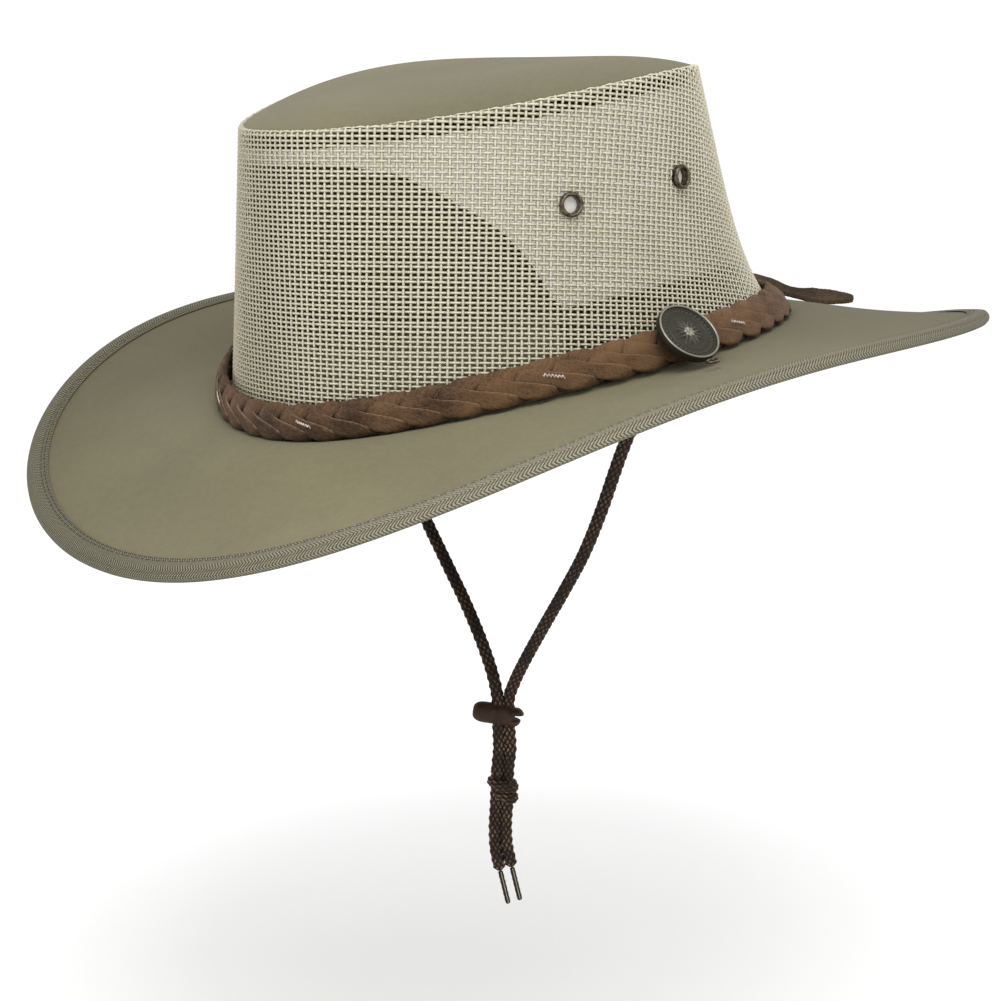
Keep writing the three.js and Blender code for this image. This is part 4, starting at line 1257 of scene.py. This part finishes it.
def band_frame(bearing):
    """The band's middle line on the wall, with its directions up the wall and away from it."""
    low, high = wall(bearing, 0.0), wall(bearing, 2 * BAND_RISE)
    upward = unit(high - low)
    away = outward(bearing)
    away = unit(away - upward * np.sum(away * upward, axis=-1, keepdims=True))
    behind = ((1 - np.cos(bearing)) / 2) ** 2
    middle = wall(bearing, BAND_RISE - BAND_LOWER_BEHIND * behind)
    middle = middle + away * (BAND_HALF_THICKNESS + BAND_STAND_OFF)
    return middle, upward, away, 1 + BAND_WIDER_BEHIND * behind / BAND_HALF_WIDTH


def strip_sheet(strip, bearing, across):
    """A strip's middle surface. Its phase grows along the band and, by its share, across the strip,
    and is skewed: turn = phase + skew times sin phase, so that it climbs fast and comes down slowly.
    The swing is a zigzag whose corners are softened: the arcsine of nearly all of the turn's sine.
    The height is the flattened sine of twice the turn, less a share of its cosine. The strip is
    tilted, earlier edge out, and the band's upper edge hugs the crown."""
    middle, upward, away, wider = band_frame(bearing)
    uneven = sum(size * np.sin(waves * bearing + shift * strip) for size, waves, shift in UNEVEN_WAVES)
    own = STRIP_SWINGS * bearing + strip * 2 * np.pi / 3 + uneven

    def skewed(phase):
        return phase + STRIP_SKEW * np.sin(phase)

    turn = skewed(own + STRIP_SHARE * across)
    swing = np.arcsin(STRIP_SHARPNESS * np.sin(turn)) / math.asin(STRIP_SHARPNESS)
    held = skewed(own + STRIP_SHARE * STRIP_HOLD * across)
    climb = np.tanh(STRIP_FLATNESS * (np.sin(2 * held) - STRIP_BIAS * np.cos(held)))
    hug = STRIP_HUG * np.maximum(swing, 0) ** 2
    reach = STRIP_REACH * (1 + 0.03 * np.sin(23 * bearing + strip)) - STRIP_SCALLOP * across**2
    out = STRIP_CLIMB * climb - STRIP_TILT * across - hug
    return moved(middle, (reach * wider * swing, upward), (out, away))


def strip_face(strip, bearing, across):
    """The direction square to a strip's middle surface, from two small steps along and across it."""
    here = strip_sheet(strip, bearing, across)
    return unit(np.cross(
        strip_sheet(strip, bearing + 0.0006, across) - here,
        strip_sheet(strip, bearing, across + 0.01) - here,
    ))


def strip_section(count=15):
    """A flat bar as (across, thick) pairs, with rounded cut edges: thick^2 = 1 - across^8."""
    top = np.linspace(1, -1, count)
    top = top * (1.3 - 0.3 * top**2)
    across = np.concatenate([top, top[-2:0:-1]])
    side = np.concatenate([np.ones(count), -np.ones(count - 2)])
    return across, side * np.sqrt(np.clip(1 - across**8, 0, 1))


band = Shape()
round_it = bearings(STRIP_SWINGS * STRIP_SAMPLES)
across, thick = (values[None] for values in strip_section())
for strip in range(3):
    face = strip_face(strip, round_it, across)
    points = moved(strip_sheet(strip, round_it, across), (STRIP_HALF_THICKNESS * thick, face))
    edge = np.clip(-across, 0, 1) ** 8
    band.add(points, closed=(True, True), size=(600, 18), tint=strip / 2, relief=edge)


def suede_finish(name, dark, light):
    """Streaks drawn out along the strip, a fine nap and soft patches, a pale cut edge that is partly
    the leather's own colour and partly a painted highlight, and painted light that makes the suede a
    little lighter at the wearer's left."""
    made = Finish(name, Roughness=0.88, Specular_IOR_Level=0.2, Sheen_Weight=0.06, Sheen_Roughness=0.5)
    u, v = made.along()
    streak = made.noise(1.0, 5.0, 0.65, made.stretched(u * 0.4, v * 2.6))
    nap = made.noise(1300, 4.0, 0.7)
    patch = made.noise(75, 3.0)
    # Painted light: the suede is painted a little lighter towards the wearer's left
    lit_wearers_left = made.parts(made.place())[0].within(0.03, 0.1)
    tone = streak * 0.42 + nap * 0.34 + patch * 0.34 + lit_wearers_left * 0.1 - 0.03
    cloth = made.mix(tone.within(0.39, 0.71), dark, light)
    # The pale cut edge is partly the leather's own colour and partly a painted highlight
    cut_edge_highlight = (made.mark("relief") * (0.4 + nap)).within(0.45, 1.15)
    made.paint(cut_edge_highlight * 0.65, cloth, (164, 138, 114))
    made.bump(nap * 0.5 + streak * 0.5, 0.34, 0.9)
    return made


suede = suede_finish("suede", (43, 31, 21), (110, 82, 57))
add_piece("hat_band_plait", band, suede, ["hat_band"])

# %% [markdown]
# ## Stitches of the plait
# Here and there a short zigzag of pale thread holds two strips together. Each is a thin tube that
# runs on a strip's own surface, swinging a little across it, and lies where that strip is on top.

# %% Stitches of the plait
STITCH_BEARINGS = [11.5, 56.5, 103.5, 152, 199, 246, 293, 335]
STITCH_PHASE, STITCH_LENGTH, STITCH_THREAD = math.radians(168), 8.0, 0.24
STITCH_PLACE, STITCH_SWING, STITCH_ZIGZAGS = -0.4, 0.2, 8
STITCH_PROUD, STITCH_SUNK, BAND_RADIUS = 0.12, 0.5, 98

# Where each strip, once a swing, comes by with this phase
phases = 2 * np.pi * np.arange(-1, STRIP_SWINGS + 1) + STITCH_PHASE
passes = (phases - np.arange(3)[:, None] * 2 * np.pi / 3) / STRIP_SWINGS
run = np.linspace(0, 1, 57)
zigzag = 2 * np.abs((run * STITCH_ZIGZAGS) % 1 * 2 - 1) - 1
thread = Shape()
for degrees in STITCH_BEARINGS:
    nearest = np.argmin(np.abs(passes - math.radians(degrees)))
    strip, start = nearest // len(phases), passes.flat[nearest]
    along = start + run * STITCH_LENGTH / BAND_RADIUS
    swing = STITCH_PLACE + STITCH_SWING * zigzag
    face = strip_face(strip, along, swing)
    face = face * np.sign(np.sum(face * band_frame(along)[2], axis=-1, keepdims=True))
    height = STRIP_HALF_THICKNESS + STITCH_PROUD - STITCH_SUNK * np.cos(np.pi * run) ** 8
    line = moved(strip_sheet(strip, along, swing), (height, face))
    thread.add(tube(line, STITCH_THREAD, 6, UP), size=(STITCH_LENGTH, 1))
pale_thread = Finish("pale_thread", Roughness=0.6, Specular_IOR_Level=0.4)
tone = pale_thread.noise(1500, 2.0)
pale_thread.paint(tone.within(0.3, 0.7), (150, 132, 118), (222, 210, 200))
pale_thread.bump(tone, 0.1)
add_piece("hat_band_stitches", thread, pale_thread)

# %% [markdown]
# ## Loose end of the band
# Behind the crown the plait's last strip is left loose and lies out over the brim. It is a flat
# strip with a waist and a ragged round end: its width narrows there, and noise nibbles at its edge.
# It is rolled a little, its front edge down.

# %% Loose end of the band
TAIL_WIDTH, TAIL_THICKNESS, TAIL_ROLL, TAIL_CURL = 8.5, 2.2, math.radians(27), 0.35
TAIL_WIDEST, TAIL_ROUNDING = 0.35, 0.97
WAIST_AT, WAIST_REACH, WAIST_DEPTH = 0.5, 0.13, 0.42
TAIL_ROUTE = [  # x, y and the height above the brim
    (6, 111.6, 6.6), (11, 115.4, 6.2), (18.5, 120.2, 4.6), (26, 124.5, 3.2), (34, 128.5, 3.3),
    (42, 132, 3.7), (47, 134, 3.9),
]


def over_brim(x, y, above):
    """A level place lifted to a height above the brim's upper face."""
    bearing = np.arctan2(x / FOOT_HALF_WIDTH, -y / FOOT_HALF_LENGTH)
    out = (np.hypot(x, y) - np.linalg.norm(foot(bearing)[..., :2], axis=-1)) / brim_width(bearing)
    height = brim(bearing, out, BRIM_THICKNESS / 2)[..., 2] + above
    return np.stack([x, y, height], axis=-1)


tail_line = smooth_line(over_brim(*np.array(TAIL_ROUTE, float).T), 0.5)
run = np.linspace(0, 1, len(tail_line))
level = unit(np.cross(np.gradient(tail_line, axis=0), UP))
side = level * math.cos(TAIL_ROLL) - UP * math.sin(TAIL_ROLL)
over = level * math.sin(TAIL_ROLL) + UP * math.cos(TAIL_ROLL)
to_end = TAIL_ROUNDING * np.abs(run - TAIL_WIDEST) / (1 - TAIL_WIDEST)
narrowing = np.sqrt(np.clip(1 - to_end**4, 0.02, 1))
waist = 1 - WAIST_DEPTH * np.exp(-(((run - WAIST_AT) / WAIST_REACH) ** 2))
nibble = waist * (1 + 0.05 * np.sin(41 * run) * run + rng.normal(0, 0.035, len(run)) * run)
half_width = TAIL_WIDTH / 2 * narrowing * nibble
across, thick = strip_section()
height = TAIL_THICKNESS / 2 * thick * (0.6 + 0.4 * narrowing)[:, None] + TAIL_CURL * (across**2 - 0.4)
tail = Shape().add(
    moved(tail_line[:, None], (half_width[:, None] * across, side[:, None]), (height, over[:, None])),
    size=(60, 18), tint=0.3, relief=np.abs(across) ** 6,
)
dark_suede = suede_finish("dark_suede", (36, 28, 20), (84, 66, 48))
add_piece("band_tail_strip", tail, dark_suede, ["band_tail"])

# %% [markdown]
# ## Eyelets
# Four metal eyelets air the crown. An eyelet is a short barrel with a rolled flange outside the net,
# so it is one turned profile, stood on the wall with its axis square to it.

# %% Eyelets
EYELET_BORE, EYELET_SHANK, EYELET_FLANGE = 2.65, 3.2, 4.15
EYELET_BACK, EYELET_NET, EYELET_PROUD = -2.3, 0.45, 1.6


def turned(radius, height, middle, axis, across, sides):
    """Rings round an axis that stands on a middle point: point = middle + radius (cos a across +
    sin a away) + height axis, where away is square to the other two."""
    turn = full_turn(sides)
    away = np.cross(axis, across)
    return moved(middle, (radius * np.cos(turn), across), (radius * np.sin(turn), away), (height, axis))


aged_metal = Finish("aged_metal", Metallic=0.9, Specular_IOR_Level=0.5)
wear = aged_metal.noise(700, 4.0, 0.65)
aged_metal.paint(wear.within(0.38, 0.62), (66, 59, 46), (112, 102, 84))
aged_metal.feed("Roughness", 0.24 + 0.2 * wear)
aged_metal.bump(wear, 0.02, 0.4)

# Radius and height: the flange is half an ellipse from the bore to its edge, the rest is the barrel
half_turn = np.linspace(np.pi, 0, 14)
flange_radius = (EYELET_BORE + EYELET_FLANGE + (EYELET_FLANGE - EYELET_BORE) * np.cos(half_turn)) / 2
flange_height = EYELET_NET + (EYELET_PROUD - EYELET_NET) * np.sin(half_turn)
ring_profile = np.array([
    (EYELET_BORE, EYELET_BACK),
    *zip(flange_radius, flange_height),
    (EYELET_FLANGE - 0.15, 0.3),
    (EYELET_SHANK, 0.25),
    (EYELET_SHANK, EYELET_BACK + 0.25),
    (EYELET_FLANGE - 0.4, EYELET_BACK + 0.25),
    (EYELET_FLANGE - 0.4, EYELET_BACK),
])
for place in EYELET_BEARINGS:
    middle, normal = eyelet_frame(place)
    points = turned(*ring_profile.T[..., None], middle, normal, unit(np.cross(normal, UP)), 48)
    ring = Shape().add(points, closed=(True, True), size=(20, 24))
    add_piece(f"eyelet_{place}_ring", ring, aged_metal, [f"eyelet_{place}"])

# %% [markdown]
# ## Badge
# A disc of dark pewter leans on the band at the wearer's left. It has a plain design of its own: a
# raised bright rim, a ring of beads, a thin ring and a rosette of petals. The face is a height over
# the disc, as a function of the radius and the angle, and the same height tells the material where
# the metal is rubbed bright.

# %% Badge
BADGE_THICKNESS, BADGE_FIELD = 3.4, 2.65
BADGE_CENTRE = np.array([98.1, -6.1, 17.9])
BADGE_BEARING, BADGE_LEAN = math.radians(94), math.radians(44.5)
BEADS, BEAD_RING, BEAD_SIZE = 36, 8.7, 0.42
THIN_RING, THIN_RING_SIZE = 7.3, 0.22
PETALS, PETAL_NOTCH, PETAL_LENGTH, PETAL_EDGE = 8, 3.2, 2.9, 1.4
DOME_RADIUS = 1.9
BADGE_RIM = np.array([  # radius and height
    (10.25, 3.0), (10.35, 3.25), (10.55, 3.4), (10.8, 3.42), (11.0, 3.28), (11.1, 3.0), (11.1, 0.9),
    (10.8, 0.35), (10.3, 0.0), (6, 0.0), (0.05, 0.0),
])


def badge_relief(radius, turn):
    """Height of the face over its field: a ring of beads, a thin ring inside it, a rosette whose
    petals are cosines of the angle, and a domed middle."""
    bead = np.exp(-(((radius - BEAD_RING) / BEAD_SIZE) ** 2)) * (0.5 + 0.5 * np.cos(BEADS * turn)) ** 0.8
    ring = np.exp(-(((radius - THIN_RING) / THIN_RING_SIZE) ** 2)) * 0.7
    lobe = np.abs(np.cos(PETALS * turn / 2))
    reach = PETAL_NOTCH + PETAL_LENGTH * lobe**0.7
    petal = np.clip((reach - radius) / PETAL_EDGE, 0, 1) ** 0.6 * np.clip(radius / 2.0, 0, 1)
    vein = 0.25 * lobe**12 * petal
    middle = np.sqrt(np.clip(1 - (radius / DOME_RADIUS) ** 2, 0, 1))
    return 0.45 * bead + 0.3 * ring + 0.42 * petal - vein + 0.55 * middle


face_radius = np.concatenate([np.linspace(0.05, 9.6, 84), [9.8, 10.0, 10.2]])[:, None]
face_height = BADGE_FIELD + badge_relief(face_radius, full_turn(252))
rim_radius, rim_height = BADGE_RIM.T[..., None]
radius = np.concatenate([face_radius, rim_radius])
height = np.concatenate([face_height, np.tile(rim_height, 252)])
badge_level = np.array([math.sin(BADGE_BEARING), -math.cos(BADGE_BEARING), 0.0])
badge_normal = badge_level * math.cos(BADGE_LEAN) + UP * math.sin(BADGE_LEAN)
badge_across = unit(np.cross(UP, badge_normal))
points = turned(radius, height - BADGE_THICKNESS, BADGE_CENTRE, badge_normal, badge_across, 252)
badge = Shape().add(points, size=(20, 60), relief=np.clip((height - BADGE_FIELD) / 0.6, 0, 1))

pewter = Finish("pewter", Metallic=0.85, Specular_IOR_Level=0.5)
spots = pewter.noise(520, 4.0, 0.6)
bright = (pewter.mark("relief").within(0.35, 1.0) * (0.55 + 0.6 * spots)).within(0.25, 1.0)
pewter.paint(bright, (62, 60, 52), (150, 147, 134))
pewter.feed("Roughness", 0.55 - 0.2 * bright)
pewter.bump(spots, 0.1, 0.5)
add_piece("badge_medal", badge, pewter, ["badge"])

# %% [markdown]
# ## Wire loop
# A small oval of wire lies on the brim at the badge's foot and holds it to the band.

# %% Wire loop
LOOP_LENGTH, LOOP_WIDTH, LOOP_WIRE = 7.5, 4.6, 0.5
LOOP_CENTRE = np.array([112.2, -11.4, 10.3])
LOOP_SLOPE, LOOP_HEADING = math.radians(-6), math.radians(-60)
level = np.array([math.cos(LOOP_HEADING), math.sin(LOOP_HEADING), 0.0])
lengthways = level * math.cos(LOOP_SLOPE) - UP * math.sin(LOOP_SLOPE)
turn, section = full_turn(64), full_turn(12)
middle = moved(
    LOOP_CENTRE,
    ((LOOP_LENGTH / 2 - LOOP_WIRE) * np.cos(turn), lengthways),
    ((LOOP_WIDTH / 2 - LOOP_WIRE) * np.sin(turn), np.cross(UP, level)),
)
away = unit(middle - LOOP_CENTRE)[:, None]
wire = moved(middle[:, None], (LOOP_WIRE * np.cos(section), away), (LOOP_WIRE * np.sin(section), UP))
loop = Shape().add(wire, closed=(True, True))
add_piece("badge_loop_wire", loop, aged_metal, ["badge_loop"])

# %% [markdown]
# ## Cord inside the hat
# The two strands are one cord. Its hidden stretch runs round the back of the head opening, below
# the sweatband's edge, as it would lie if it were held by loops there.

# %% Cord inside the hat
INNER_DEPTH, INNER_DROP, INNER_FROM = 8.6, 0.6, 97
along_back = bearings(120, INNER_FROM, 360 - INNER_FROM)[:, 0]
inner_line = foot(along_back) - outward(along_back) * INNER_DEPTH - UP * INNER_DROP
inner_cord = braided(evenly(inner_line, 0.6), UP, sides=20)
add_piece("chin_cord_inner_braid", inner_cord, cord_braid, ["chin_cord_inner"])

# %% [markdown]
# ## Floor and light
# The photograph has no set: a white sweep and even, soft light. So the floor is one pale plane well
# below the hat, the sky is a plain pale colour, and one broad lamp above the camera gives the cloth
# its gentle shading.

# %% Floor and light
FLOOR_HEIGHT, FLOOR_HALF_SIZE = -0.262, 60.0
SKY_STRENGTH = 1.06
corners = [(-1, -1), (1, -1), (1, 1), (-1, 1)]
corners = [(x * FLOOR_HALF_SIZE, y * FLOOR_HALF_SIZE, FLOOR_HEIGHT) for x, y in corners]
floor_mesh = bpy.data.meshes.new("floor")
floor_mesh.from_pydata(corners, [], [(0, 1, 2, 3)])
floor = bpy.data.objects.new("floor", floor_mesh)
bpy.context.scene.collection.objects.link(floor)
paper = Finish("paper", Roughness=0.9)
paper.paint(paper.noise(3, 2.0), (249, 249, 249), (252, 252, 252))
# Seen from below, the paper lets the camera look through it at the underside of the hat
paper.feed("Alpha", 1 - paper.node("NewGeometry", output=6))
floor.data.materials.append(paper.material)

world = bpy.data.worlds.new("sky")
world.use_nodes = True
sky = world.node_tree.nodes["Background"]
sky.inputs["Color"].default_value = (1, 1, 1, 1)
sky.inputs["Strength"].default_value = SKY_STRENGTH
bpy.context.scene.world = world


def lamp(name, azimuth, elevation, distance, size, watts):
    """A square lamp that looks at the hat from two angles in degrees, its sizes in metres."""
    light = bpy.data.objects.new(name, bpy.data.lights.new(name, "AREA"))
    light.data.size = size
    light.data.energy = watts
    axes = view_axes(math.radians(azimuth), math.radians(elevation))
    stand(light, axes, axes[2] * distance)


lamp("key", azimuth=52, elevation=55, distance=1.6, size=1.0, watts=13)
